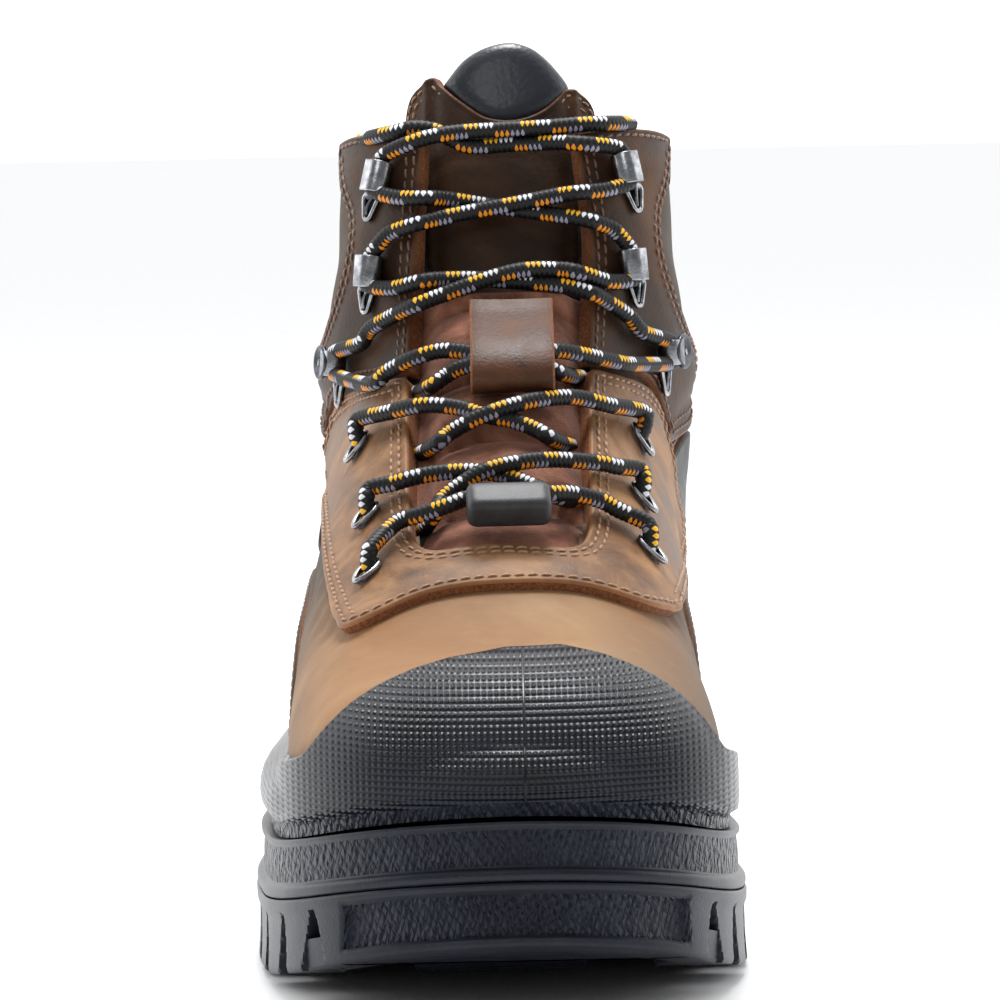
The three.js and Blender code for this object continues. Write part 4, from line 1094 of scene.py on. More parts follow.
outer = last_grid.reshape(-1, 3)
lining = (last_grid - WALL * last_normals).reshape(-1, 3)
outer_faces = shell_faces(OUTER_MARGIN, OUTER_FLOOR)
lining_faces = shell_faces(LINING_MARGIN, LINING_FLOOR)[:, ::-1] + len(outer)
upper_points = np.concatenate([outer, lining])
upper_faces = np.concatenate([outer_faces, lining_faces])
used_points, compact = np.unique(upper_faces, return_inverse=True)
upper_faces = compact.reshape(upper_faces.shape)
make_piece(
    "upper_shell", upper_points[used_points], upper_faces, [vamp_leather, lining_cloth],
    [0] * len(outer_faces) + [1] * len(lining_faces),
    marks={"from_edge": np.full(len(used_points), 9.0)}, sharp=None,
    instead_of=["upper"], slot="upper_leather",
)
print("upper:", len(upper_faces), "faces")

# %% [markdown]
# ## Lace flap
# The flap is the thick horseshoe of leather that carries the lower lace loops. Its outer edge is cut
# square and sewn twice, and its bottom edge casts a small shadow on the vamp. Along the throat it is
# turned over, so that edge is rounder. It swells a little between the sewn lines.

# %% Lace flap panel
FLAP = [
    ("front", from_front([
        (-0.362, 0.673), (-0.42, 0.672), (-0.7, 0.64), (-0.775, 0.57), (-0.775, 0.49), (-0.74, 0.43),
        (-0.68, 0.402),
    ])),
    ("front", from_front([
        (-0.66, 0.403), (-0.3, 0.442), (0.076, 0.452), (0.44, 0.444), (0.82, 0.406),
    ])),
    ("front", from_front([
        (0.84, 0.405), (0.885, 0.43), (0.888, 0.47), (0.87, 0.52), (0.83, 0.585), (0.74, 0.65), (0.48, 0.68),
        (0.457, 0.68),
    ])),
    ("front", from_front([
        (0.45, 0.66), (0.447, 0.58), (0.445, 0.53), (0.43, 0.497), (0.365, 0.483), (0.2, 0.487),
        (0.034, 0.49), (-0.13, 0.487), (-0.28, 0.483), (-0.35, 0.497), (-0.368, 0.53), (-0.37, 0.58),
        (-0.365, 0.66),
    ])),
]
FLAP_TOP = 2.8
FLAP_SEAMS = [
    # distance in from the edge, part of the outline at which it starts, and at which it ends
    (1.9, 0, 1), (4.0, 0, 1), (2.2, 1, 2), (1.9, 2, 3), (4.0, 2, 3), (2.1, 3, 4), (4.1, 3, 4),
]
flap_line, flap_marks = closed_line(FLAP, step=0.9, round_over=2.2)


def sewn_channel(distance, at, depth=0.28, width=0.55):
    return -depth * np.exp(-((distance - at) / width) ** 2)


def flap_relief(distance, places):
    swell = 0.35 * smooth((distance - 5) / 4)
    return sewn_channel(distance, 1.9) + sewn_channel(distance, 4.0) + swell


def sew_seams(pile, line, marks, height, seams):
    """Rows of stitches from part to part of an outline. The part after the last is its end."""
    stops = marks + [None]
    for distance, start, end in seams:
        sew_edge(pile, line, distance, height, stops[start], stops[end])


lay_panel("lace_flap_leather", flap_line, FLAP_TOP, [flap_nubuck, raw_edge], edge=0.9, depth=2.6,
          spacing=1.7, relief=flap_relief, instead_of=["lace_flap"], slot="flap_leather")
flap_stitches = Pile()
sew_seams(flap_stitches, flap_line, flap_marks, FLAP_TOP + 0.02, FLAP_SEAMS)
flap_stitches.piece("flap_stitches", [tan_thread], sharp=None, slot="flap_leather")

# %% [markdown]
# ## Hook stays
# The stays carry the hooks up both sides of the shaft. Each runs from the flap to the collar and back
# to a curved edge that is sewn twice. They are cut from the darker shaft leather.


# %% Hook stay panels
def stay_chain(side):
    """Outline of a stay: along the throat, over the collar edge, down the back edge and along the flap."""
    sign = 1 if side == "medial" else -1
    if sign > 0:
        throat = [(0.457, 0.69), (0.488, 0.835), (0.44, 0.955), (0.442, 0.976)]
        over_flap = [(0.755, 0.662), (0.5, 0.688), (0.457, 0.69)]
    else:
        throat = [(-0.362, 0.682), (-0.325, 0.835), (-0.29, 0.955), (-0.292, 0.976)]
        over_flap = [(-0.715, 0.652), (-0.43, 0.68), (-0.362, 0.682)]
    collar = [(y, float(collar_line(y)) - 0.6) for y in (48, 58, 66, 73)]
    back = from_side([
        (0.236, 0.965), (0.232, 0.95), (0.212, 0.915), (0.166, 0.84), (0.18, 0.775), (0.22, 0.72),
        (0.265, 0.69), (0.285, 0.64), (0.27, 0.592), (0.2, 0.576), (0.13, 0.572),
    ])
    flap_side = from_front([(0.93, 0.5), (0.855, 0.59)]) if sign > 0 else from_front([
        (-0.81, 0.5), (-0.8, 0.575)])
    return [
        ("front", from_front(throat)),
        (side, collar),
        (side, back),
        ("front", flap_side[1:] + from_front(over_flap)[:-1]),
    ]


STAY_TOP = 2.3
STAY_SEAMS = [(1.8, 0, 4), (3.9, 2, 3), (3.9, 0, 1)]


def stay_relief(distance, places):
    return sewn_channel(distance, 1.8) + sewn_channel(distance, 3.9) + 0.3 * smooth((distance - 5) / 4)


stay_stitches = Pile()
for side in ("lateral", "medial"):
    stay_line, stay_marks = closed_line(stay_chain(side), step=1.0, round_over=2.0)
    lay_panel(f"hook_stay_{side}_leather", stay_line, STAY_TOP, [shaft_nubuck, raw_edge], edge=0.8,
              depth=2.4, spacing=1.9, relief=stay_relief, instead_of=[f"hook_stay_{side}"],
              slot="shaft_leather")
    sew_seams(stay_stitches, stay_line, stay_marks, STAY_TOP, STAY_SEAMS)
stay_stitches.piece("stay_stitches", [brown_thread], sharp=None, slot="shaft_leather")

# %% [markdown]
# ## Back and sides of the upper
# Behind the flap the upper is pieced from a few more panels: a quarter on each side, a heel counter
# cupped round the back, and a small woven panel at each ankle that lets it bend. They are thinner than
# the flap, and darker.


# %% Quarters, heel counter and ankle panels
def plain_relief(distance, places):
    return sewn_channel(distance, 1.8) + 0.2 * smooth((distance - 3) / 4)


quarter_stitches = Pile()
for side in ("lateral", "medial"):
    ankle = [(side, from_side([
        (0.14, 0.548), (0.2, 0.56), (0.265, 0.578), (0.315, 0.56), (0.325, 0.52), (0.29, 0.455),
        (0.22, 0.43), (0.15, 0.46), (0.14, 0.548),
    ]))]
    ankle_line, _ = closed_line(ankle, step=1.2, round_over=2.5)
    lay_panel(f"ankle_panel_{side}_cloth", ankle_line, 1.5, [ankle_cloth, raw_edge], edge=0.7,
              spacing=2.2, relief=lambda distance, places: 0.5 * smooth(distance / 9),
              instead_of=[f"ankle_panel_{side}"], slot="ankle_cloth")
    quarter = [(side, from_side([
        (-0.135, 0.24), (-0.05, 0.36), (0.02, 0.4), (0.09, 0.425), (0.14, 0.425), (0.22, 0.395),
        (0.285, 0.42), (0.296, 0.37), (0.292, 0.26), (0.29, 0.2), (-0.1, 0.2), (-0.135, 0.24),
    ]))]
    quarter_line, _ = closed_line(quarter, step=1.6, round_over=4.0)
    lay_panel(f"quarter_{side}_leather", quarter_line, 1.2, [dark_nubuck, raw_edge], edge=0.7,
              spacing=3.0, relief=plain_relief, slot="shaft_leather")
    sew_edge(quarter_stitches, quarter_line, 1.8, 1.2)
    sew_edge(quarter_stitches, quarter_line, 3.6, 1.35)
    sew_edge(quarter_stitches, ankle_line, -1.9, 0.1)

counter = [
    ("lateral", from_side([(0.3, 0.2), (0.31, 0.35), (0.345, 0.45), (0.4, 0.535), (0.435, 0.575)])),
    ("back", [(-26, 111.5), (-12, 113.5), (2, 114), (16, 113.5), (30, 111.5)]),
    ("medial", from_side([(0.435, 0.575), (0.4, 0.535), (0.345, 0.45), (0.31, 0.35), (0.3, 0.2)])),
    ("back", [(30, 42), (2, 42), (-26, 42)]),
]
counter_line, _ = closed_line(counter, step=1.5, round_over=3.0)
lay_panel("heel_counter_leather", counter_line, 2.3, [shaft_nubuck, raw_edge], edge=0.8, spacing=2.6,
          relief=stay_relief, instead_of=["heel_counter"], slot="black_leather")
sew_edge(quarter_stitches, counter_line, 1.8, 2.3)
sew_edge(quarter_stitches, counter_line, 3.9, 2.3)
quarter_stitches.piece("quarter_stitches", [brown_thread], sharp=None, slot="shaft_leather")

# %% [markdown]
# ## Tongue
# The tongue rises behind the hooks and ends in two pointed shoulders with a dip between them, where the
# padded top comes out. It has a middle panel in shaft leather. On both sides a strip of folded lining
# joins it to the upper and keeps grit out.

# %% Tongue panels
TONGUE_TOP = -6.3
TIP_STITCH_PITCH = 2.6
STITCHED_PAST_TIP = 28
TONGUE = [
    ("front", from_front([
        (-0.36, 0.54), (-0.43, 0.66), (-0.45, 0.79), (-0.49, 0.92), (-0.5, 0.985), (-0.465, 1.034),
        (-0.34, 1.06), (-0.3, 1.062),
    ])),
    ("front", from_front([
        (-0.29, 1.056), (-0.13, 1.03), (0.0, 1.012), (0.15, 1.008), (0.29, 1.016), (0.39, 1.03),
        (0.45, 1.044),
    ])),
    ("front", from_front([
        (0.46, 1.045), (0.54, 1.04), (0.63, 1.02), (0.65, 0.985), (0.61, 0.92), (0.55, 0.79), (0.49, 0.66),
        (0.43, 0.54),
    ])),
]


def tongue_relief(distance, places):
    """A middle panel that swells a little between two raised side seams."""
    x = sample(last_grid, places)[:, 0]
    left = np.exp(-((x + 17.5) / 1.3) ** 2)
    right = np.exp(-((x - 25.5) / 1.3) ** 2)
    swell = 0.8 * smooth((x + 17) / 6) * smooth((25 - x) / 6)
    return sewn_channel(distance, 1.8, 0.3) + 1.0 * (left + right) + swell


tongue_line, tongue_marks = closed_line(TONGUE, step=1.0, round_over=1.1)
lay_panel("tongue_leather", tongue_line, TONGUE_TOP, [shaft_nubuck, raw_edge], base=-9.1, edge=0.9,
          depth=0.0, spacing=1.5, relief=tongue_relief, instead_of=["tongue"], slot="shaft_leather")
tongue_stitches = Pile()
for distance in (1.9, 4.2):
    sew_edge(tongue_stitches, tongue_line, distance, TONGUE_TOP, tongue_marks[1] - STITCHED_PAST_TIP,
             tongue_marks[2] + STITCHED_PAST_TIP, pitch=TIP_STITCH_PITCH)
tongue_stitches.piece("tongue_stitches", [tan_thread], sharp=None, slot="shaft_leather")

GUSSETS = {
    "lateral": [(-0.47, 0.70), (-0.49, 0.955), (-0.375, 0.955), (-0.36, 0.70), (-0.47, 0.70)],
    "medial": [(0.56, 0.70), (0.62, 0.955), (0.525, 0.955), (0.5, 0.70), (0.56, 0.70)],
}
for side, patch in GUSSETS.items():
    gusset_line, _ = closed_line([("front", from_front(patch))], step=1.2, round_over=1.5)
    lay_panel(f"gusset_{side}_cloth", gusset_line, TONGUE_TOP + 1.5, [lining_cloth, lining_cloth], edge=1.2,
              base=TONGUE_TOP, depth=0.6, spacing=1.6, slot="lining_cloth",
              relief=lambda distance, places: 0.5 * np.sin(sample(last_grid, places)[:, 2] / 2.6))

# %% [markdown]
# ## Metatarsal guard
# Under the laces lies the guard that gives the boot its name: a plate in a suede cover, sewn across into
# soft ribs so that it can flex over the instep. Each rib is a low pillow with an arched upper seam. The
# pillow's height falls to the seam along a rounded curve.

# %% Guard ribs
GUARD_PATTERN = [
    (-0.52, 0.47), (-0.56, 0.58), (-0.54, 0.69), (-0.46, 0.765), (0.1, 0.785), (0.56, 0.765), (0.64, 0.69),
    (0.64, 0.58), (0.58, 0.47), (0.3, 0.465), (-0.25, 0.465),
]
RIB_SEAMS = [
    # z at the sides, how far the seam arches up in the middle
    (88.0, 1.0), (98.0, 5.0), (112.0, 5.5), (125.5, 5.0), (141.5, 6.0), (152.0, 4.0),
]
RIB_MIDDLE = 3.2
RIB_HALF = 19.5
GUARD_SEAM = -2.6
GUARD_RISE = 3.9


def rib_relief(distance, places):
    """Height of the pillows above the plate, from the seams above and below each point."""
    points = sample(last_grid, places)
    x, z = points[:, 0], points[:, 2]
    side = np.clip(np.abs(x - RIB_MIDDLE) / RIB_HALF, 0, 1.4)
    arch = 1 - side ** 2
    seams = np.array([seam + rise * arch for seam, rise in RIB_SEAMS])
    height = np.zeros(len(z))
    for low, high in zip(seams, seams[1:]):
        share = np.clip((z - low) / (high - low), 0, 1)
        pillow = np.sqrt(np.clip(np.sin(np.pi * share), 0, 1))
        height = np.maximum(height, pillow * ((z >= low) & (z < high)))
    across = smooth((1.12 - side) / 0.42)
    return GUARD_RISE * height * across * (0.86 + 0.14 * np.cos(x / 9))


guard_line, _ = closed_line([("front", from_front(GUARD_PATTERN + GUARD_PATTERN[:1]))], step=1.2,
                            round_over=3.0)
guard = lay_panel("guard_ribs_suede", guard_line, GUARD_SEAM, [guard_suede, guard_suede], base=-6.0,
                  edge=1.2, depth=0.0, spacing=0.85, relief=rib_relief, instead_of=["metatarsal_guard"],
                  slot="guard_suede")

# %% [markdown]
# ## Padded top and collar
# The tongue ends in a padded tip of smooth slate-coloured leather, and the same leather is rolled over
# the collar at the back of the shaft. The tip is a pillow over its own outline: front and back skins
# meet at a rounded rim. The collar is a swept section that follows the collar line round the heel.

# %% Padded tongue tip
TIP = [
    (-0.285, 1.052), (-0.16, 1.082), (-0.05, 1.097), (0.06, 1.105), (0.15, 1.107), (0.22, 1.103),
    (0.29, 1.096), (0.4, 1.076), (0.51, 1.045), (0.45, 1.028), (0.29, 1.008), (0.08, 1.0), (-0.13, 1.022),
]
TIP_MIDDLE = -9.0
TIP_HALF = 3.4
TIP_LINES = (0.25, 0.7, 1.3, 2.1)
TIP_SPACING = 1.4


def lay_pillow(name, line, middle, half, finish, **more):
    """A closed pillow over an outline: two skins that bulge away from a middle height."""
    where, faces, _ = fill_line(line, TIP_LINES, 0.9, TIP_SPACING, 0)
    distance = edge_distance(line, where)
    distance[distance < 0.05] = 0
    bulge = half * np.sqrt(np.clip(1 - (1 - np.clip(distance / (1.6 * half), 0, 1)) ** 2, 0, 1))
    ground = sample(last_grid, where)
    out = sample(last_normals, where)
    front = ground + (middle + bulge)[:, None] * out
    back = ground + (middle - bulge)[:, None] * out
    rim = distance == 0
    back_id = np.where(rim, np.arange(len(where)), len(where) + np.arange(len(where)))
    if faces_inward(front, faces[0], out[faces[0][0]]):
        faces = [face[::-1] for face in faces]
    all_faces = [list(face) for face in faces] + [[int(back_id[c]) for c in face[::-1]] for face in faces]
    points = np.concatenate([front, back])
    used = sorted({c for face in all_faces for c in face})
    order = {old: new for new, old in enumerate(used)}
    all_faces = [[order[c] for c in face] for face in all_faces]
    pillow = make_piece(name, points[used], all_faces, [finish], sharp=None, **more)
    return pillow


tip_line, _ = closed_line([("front", from_front(TIP + TIP[:1]))], step=0.9, round_over=1.6)
lay_pillow("tongue_tip_padding", tip_line, TIP_MIDDLE, TIP_HALF, slate_padding,
           instead_of=["tongue_top"], slot="lining_cloth")

# %% Rolled collar
SHAFT_MIDDLE = (2.6, 98.0)
COLLAR_FRONT = 71.0
COLLAR_ROLL = [
    # distance off the last, height above the collar edge
    (0.4, -9.0), (0.7, -7.5), (0.8, -5.0), (0.7, -2.5), (0.2, -0.4), (-1.0, 1.0), (-2.8, 1.6), (-4.6, 1.5),
    (-6.4, 0.6), (-7.8, -1.4), (-8.7, -4.5), (-9.0, -9.0), (-8.6, -13.5), (-7.6, -16.0), (-8.6, -18.5),
    (-9.0, -22.5), (-8.4, -27.0), (-6.4, -30.0), (-4.0, -31.0), (-2.6, -31.0),
]


def collar_places():
    """Places along the collar edge from the lateral stay round the back to the medial one."""
    places = []
    for share in np.linspace(0, 1, 150):
        bearing = math.radians(-28 + share * 236)
        way = Vector((-math.cos(bearing), math.sin(bearing), 0))
        spot = Vector((*SHAFT_MIDDLE, 0)) + way * 120
        for _ in range(4):
            spot.z = float(collar_line(spot.y))
            hit = last_tree.ray_cast(Vector((*SHAFT_MIDDLE, spot.z)), way)[0]
            if hit is None:
                break
            spot = hit
        places.append(np.array(spot))
    return np.array(places)


collar_spots = collar_places()
collar_spots = collar_spots[collar_spots[:, 1] > COLLAR_FRONT]
collar_rings = []
for spot in collar_spots:
    way_out = last_tree.find_nearest(Vector(spot))[1]
    flat_out = np.array([way_out[0], way_out[1], 0.0])
    if flat_out[:2] @ (spot[:2] - SHAFT_MIDDLE) < 0:
        flat_out = -flat_out
    flat_out /= np.linalg.norm(flat_out)
    ring = []
    for off, up in COLLAR_ROLL:
        height = float(collar_line(spot[1])) + up
        probe_from = Vector((spot[0], spot[1], height)) + Vector(flat_out) * 40
        wall = last_tree.ray_cast(probe_from, Vector(-flat_out))[0]
        base = spot if wall is None else np.array(wall)
        ring.append([base[0] + flat_out[0] * off, base[1] + flat_out[1] * off, height])
    collar_rings.append(ring)
collar_grid = np.array(collar_rings)
ends_taper = np.minimum(np.arange(len(collar_grid)), np.arange(len(collar_grid))[::-1]) / 7
taper = smooth(ends_taper)[:, None, None]
flat_core = collar_grid.mean(axis=1, keepdims=True) * [1, 1, 0] + collar_grid * [0, 0, 1]
collar_grid[:, 4:, :2] = (flat_core * (1 - taper) + collar_grid * taper)[:, 4:, :2]
collar_faces = sheet_faces(len(collar_grid), len(COLLAR_ROLL))
fine_collar = make_piece("rolled_collar_padding", collar_grid.reshape(-1, 3), collar_faces,
                         [slate_padding], sharp=None, instead_of=["collar_padding"], slot="lining_cloth")
rounder = fine_collar.modifiers.new("rounder", "SUBSURF")
rounder.levels = rounder.render_levels = 1
print("collar:", collar_grid.shape)

# %% [markdown]
# ## Footbed
# From above one sees the footbed deep in the boot: a cloth-covered foam sole with a raised rim. It is a
# dished sheet whose edge follows the last at its own height.

# %% Footbed sheet
FOOTBED_TOP = FOOTBED_HEIGHT + 9.0
FOOT_MIDDLE = 2.5
BED_COLUMNS = 41
bed_rows = []
for y in np.linspace(-138, 140, 90):
    level = FOOTBED_TOP + float(lift(y))
    half = []
    for way in (-1, 1):
        hit = last_tree.ray_cast(Vector((FOOT_MIDDLE, y, level)), Vector((way, 0, 0)))[0]
        half.append((hit.x if hit is not None else FOOT_MIDDLE + way * 4) - way * 2.9)
    row = []
    for share in np.linspace(0, 1, BED_COLUMNS):
        x = half[0] + (half[1] - half[0]) * share
        rim = abs(2 * share - 1) ** 6
        row.append([x, y, level - 0.9 + 0.9 * rim])
    bed_rows.append(row)
bed_grid = np.array(bed_rows)
bed_faces = sheet_faces(len(bed_grid), BED_COLUMNS)
footbed_cloth = woven_cloth("footbed_knit", "232426", "34353a", 1.1)
make_piece("footbed_cloth", bed_grid.reshape(-1, 3), bed_faces, [footbed_cloth], sharp=None,
           instead_of=["insole"], slot="insole_cloth")
print("footbed:", len(bed_faces), "faces")

# %% [markdown]
# ## Keeper loop
# A strap of reddish tan leather is sewn to the guard at both ends and stands off it in between, so that
# it can hold the laces in the middle of the boot. It has a thickness, softened edges, and a slight dish
# across its width.

# %% Keeper strap
KEEPER_MIDDLE = 5.6
KEEPER_WIDTH = 20.0
KEEPER_THICKNESS = 1.8
KEEPER_LINE = [
    # z, distance off the last
    (127.4, 1.8), (128.0, 4.4), (129.4, 6.8), (132.0, 8.9), (135.0, 9.8), (138.5, 9.2), (142.0, 6.6),
    (145.0, 3.6), (147.4, 2.2),
]
keeper_path = through([on_front(KEEPER_MIDDLE, z, off) for z, off in KEEPER_LINE], 5)
keeper_along = np.gradient(keeper_path, axis=0)
keeper_along /= np.linalg.norm(keeper_along, axis=1, keepdims=True)
keeper_out = np.cross(np.array([1.0, 0, 0]), keeper_along)
keeper_out *= np.where(keeper_out[:, 1:2] > 0, -1, 1)
half_width = KEEPER_WIDTH / 2
KEEPER_SECTION = [
    # across, out: shares of half the width and of the thickness
    (-1.0, -0.3), (-1.0, 0.2), (-0.985, 0.42), (-0.95, 0.5), (-0.6, 0.42), (0.0, 0.36), (0.6, 0.42),
    (0.95, 0.5), (0.985, 0.42), (1.0, 0.2), (1.0, -0.3), (0.95, -0.5), (0.0, -0.5), (-0.95, -0.5),
]
keeper_rings = [[point + np.array([across * half_width, 0, 0]) + out * share * KEEPER_THICKNESS
                 for across, share in KEEPER_SECTION] for point, out in zip(keeper_path, keeper_out)]
keeper_grid = np.array(keeper_rings)
keeper_faces = ring_faces(len(keeper_grid), len(KEEPER_SECTION))
keeper_looks = [1 if k in (0, 1, 2, 7, 8, 9) else 0 for _ in range(len(keeper_grid) - 1)
                for k in range(len(KEEPER_SECTION))]
make_piece("keeper_strap", keeper_grid.reshape(-1, 3), keeper_faces, [keeper_nubuck, raw_edge],
           keeper_looks, marks={"from_edge": np.full(keeper_grid.shape[0] * keeper_grid.shape[1], 5.0)},
           sharp=60, instead_of=["keeper_loop"], slot="keeper_leather")

# %% [markdown]
# ## Rubber
# The toe bumper, the rand, the midsole and the outsole are moulded nitrile rubber: blue-black, satin, a
# little grey where it is handled. The mould leaves a square grid of tiny pyramids on the bumper, drawn
# as if pressed straight from the front: seen from the side only its level ribs remain. The rows are
# 1.35 mm apart. The midsole and the toe lug carry short slanted strokes.


# %% Rubber finishes
def rubber_base(name, dark, light, roughness):
    material, tree, shader, place = new_finish(name, roughness, ior=1.52, Specular_IOR_Level=0.25)
    bloom = add(tree, "TexNoise", {"Vector": place},
                {"Scale": 55.0, "Detail": 5.0, "Roughness": 0.65})
    tone = ramp(tree, (bloom, 0), [(0.3, dark), (0.72, light)])
    fine = add(tree, "TexNoise", {"Vector": place}, {"Scale": 2200.0, "Detail": 2.0})
    return material, tree, shader, place, (tone, 0), (fine, 0)


def repeat(tree, source, pitch):
    """A rounded ridge that repeats along a coordinate in metres: 0 in the groove, 1 on the ridge."""
    turns = calculate(tree, "MULTIPLY", source, 2 * math.pi / (pitch * MM))
    wave = calculate(tree, "SINE", turns)
    return calculate(tree, "ADD", calculate(tree, "MULTIPLY", wave, 0.5), 0.5)


GRID_PITCH = 1.35
STROKE_SIZE = (1.2, 3.0, 2.6)


def bumper_rubber_finish():
    """Rubber with the square grid of the bumper, which ends behind the toe, and the mould's seam."""
    material, tree, shader, place, tone, fine = rubber_base("moulded_rubber_grid", "080a11", "101420", 0.31)
    parts = add(tree, "SeparateXYZ", {"Vector": place})
    level = repeat(tree, (parts, "Z"), GRID_PITCH)
    upright = repeat(tree, (parts, "X"), GRID_PITCH)
    grid = calculate(tree, "MULTIPLY", level, upright)
    ribs = calculate(tree, "ADD", calculate(tree, "MULTIPLY", grid, 0.8),
                     calculate(tree, "MULTIPLY", level, 0.25))
    toe = add(tree, "MapRange", {"Value": (parts, "Y")}, {"From Min": -0.02, "From Max": -0.06})
    shown = calculate(tree, "ADD", calculate(tree, "MULTIPLY", ribs, (toe, 0)),
                      calculate(tree, "MULTIPLY", fine, 0.12))
    off_seam = calculate(tree, "ABSOLUTE", calculate(tree, "SUBTRACT", (parts, "X"), 0.0062))
    seam = add(tree, "MapRange", {"Value": off_seam}, {"From Min": 0.00035, "From Max": 0.00015})
    shown = calculate(tree, "MAXIMUM", shown, calculate(tree, "MULTIPLY", (seam, 0), 1.1))
    dress(tree, shader, tone, shown, 0.85, 0.0005)
    return material


def stroke_rubber_finish():
    """Rubber with short slanted strokes: dashes 2.6 mm long and 1.2 mm apart, in broken order."""
    material, tree, shader, place, tone, fine = rubber_base("moulded_rubber_strokes", "141722", "262a38",
                                                            0.36)
    warp = add(tree, "Mapping", {"Vector": place})
    warp.inputs["Rotation"].default_value = (0, math.radians(-32), 0)
    warp.inputs["Scale"].default_value = [1000 / size for size in STROKE_SIZE]
    stroke = add(tree, "TexVoronoi", {"Vector": (warp, 0)}, {"Scale": 1.0, "Randomness": 0.5},
                 distance="MINKOWSKI")
    height = calculate(tree, "ADD", calculate(tree, "MULTIPLY", (stroke, 0), 1.2),
                       calculate(tree, "MULTIPLY", fine, 0.1))
    dress(tree, shader, tone, height, 0.8, 0.0006)
    return material


def plain_rubber_finish():
    material, tree, shader, place, tone, fine = rubber_base("moulded_rubber_plain", "0d1018", "1b1f2b", 0.36)
    scuff = add(tree, "TexNoise", {"Vector": place},
                {"Scale": 260.0, "Detail": 5.0, "Roughness": 0.75})
    dress(tree, shader, tone, calculate(tree, "ADD", fine, (scuff, 0)), 0.35, 0.0003)
    return material


grid_rubber = bumper_rubber_finish()
stroke_rubber = stroke_rubber_finish()
plain_rubber = plain_rubber_finish()

# %% [markdown]
# ## Outline of the sole
# Everything rubber follows one outline, drawn from the toe round both sides to the heel. A ring of the
# sole is that outline moved in by an inset and raised to a height that follows the toe spring and the
# heel rise. The outline is a curve through a few widths, as a sole pattern is.

# %% Sole outline
OUTLINE_TIP = 0.09
OUTLINE_HEEL = 0.045
OUTLINE = [
    # along, lateral, medial: shares of the length from the toe and of half the width
    (0.018, 0.34, 0.5), (0.055, 0.61, 0.735), (0.115, 0.8, 0.885), (0.19, 0.915, 0.97),
    (0.27, 0.97, 1.0), (0.36, 1.0, 0.96), (0.45, 0.975, 0.88), (0.55, 0.915, 0.81),
    (0.65, 0.85, 0.79), (0.75, 0.79, 0.795), (0.85, 0.745, 0.79), (0.92, 0.66, 0.73), (0.97, 0.44, 0.51),
]
STATIONS = 960


def closed_curve(points, count):
    """A closed centripetal curve through points, evenly spaced in the curve's own measure."""
    points = np.asarray(points, dtype=float)
    n = len(points)
    result = []
    for i in range(count):
        place = i * n / count
        k = int(place)
        t = place - k
        p0, p1, p2, p3 = (points[(k + j) % n] for j in (-1, 0, 1, 2))
        d0, d1, d2 = (max(np.linalg.norm(b - a) ** 0.5, 1e-4) for a, b in ((p0, p1), (p1, p2), (p2, p3)))
        m1 = ((p1 - p0) / d0 - (p2 - p0) / (d0 + d1) + (p2 - p1) / d1) * d1
        m2 = ((p2 - p1) / d1 - (p3 - p1) / (d1 + d2) + (p3 - p2) / d2) * d1
        result.append((2 * t ** 3 - 3 * t ** 2 + 1) * p1 + (t ** 3 - 2 * t ** 2 + t) * m1
                      + (3 * t ** 2 - 2 * t ** 3) * p2 + (t ** 3 - t ** 2) * m2)
    return np.array(result)


def outline_corners():
    half = SOLE_WIDTH / 2
    corners = [(OUTLINE_TIP * half, -0.5 * BOOT_LENGTH)]
    corners += [(medial * half, (along - 0.5) * BOOT_LENGTH) for along, _, medial in OUTLINE]
    corners.append((OUTLINE_HEEL * half, 0.5 * BOOT_LENGTH))
    corners += [(-lateral * half, (along - 0.5) * BOOT_LENGTH) for along, lateral, _ in OUTLINE[::-1]]
    return corners


def even_line(line, count):
    """A closed line with evenly spaced points, and its length."""
    looped = np.concatenate([line, line[:1]])
    length = lengths_along(looped)
    return at_lengths(np.arange(count) * length[-1] / count, length, looped), length[-1]


def with_inward(plan):
    """A closed plan run anticlockwise, and the way in at each of its points."""
    plan = np.asarray(plan, dtype=float)
    area = (plan[:, 0] * np.roll(plan[:, 1], -1) - np.roll(plan[:, 0], -1) * plan[:, 1]).sum()
    if area < 0:
        plan = plan[::-1]
    along = np.roll(plan, -1, axis=0) - np.roll(plan, 1, axis=0)
    along /= np.linalg.norm(along, axis=1, keepdims=True)
    return plan, np.stack([-along[:, 1], along[:, 0]], axis=1)


outline, outline_length = even_line(closed_curve(outline_corners(), 4 * STATIONS), STATIONS)
outline, outline_inward = with_inward(outline)
station_at = np.arange(STATIONS) * outline_length / STATIONS
print("outline:", round(outline_length, 1), "mm round")


def sole_ring(height, inset_by, bend=lift):
    """The outline moved in by an inset, at a height that follows the lift."""
    flat = outline + outline_inward * np.reshape(inset_by, (-1, 1))
    z = np.broadcast_to(height, (STATIONS,)) + bend(flat[:, 1])
    return np.column_stack([flat, z])


# %% [markdown]
# ## Midsole
# The midsole's side has three parts, from below: a rounded lip, a band of slanted strokes set back from
# it, and a thin ledge that catches the light under the bumper. It is one loft through rings of the
# outline.

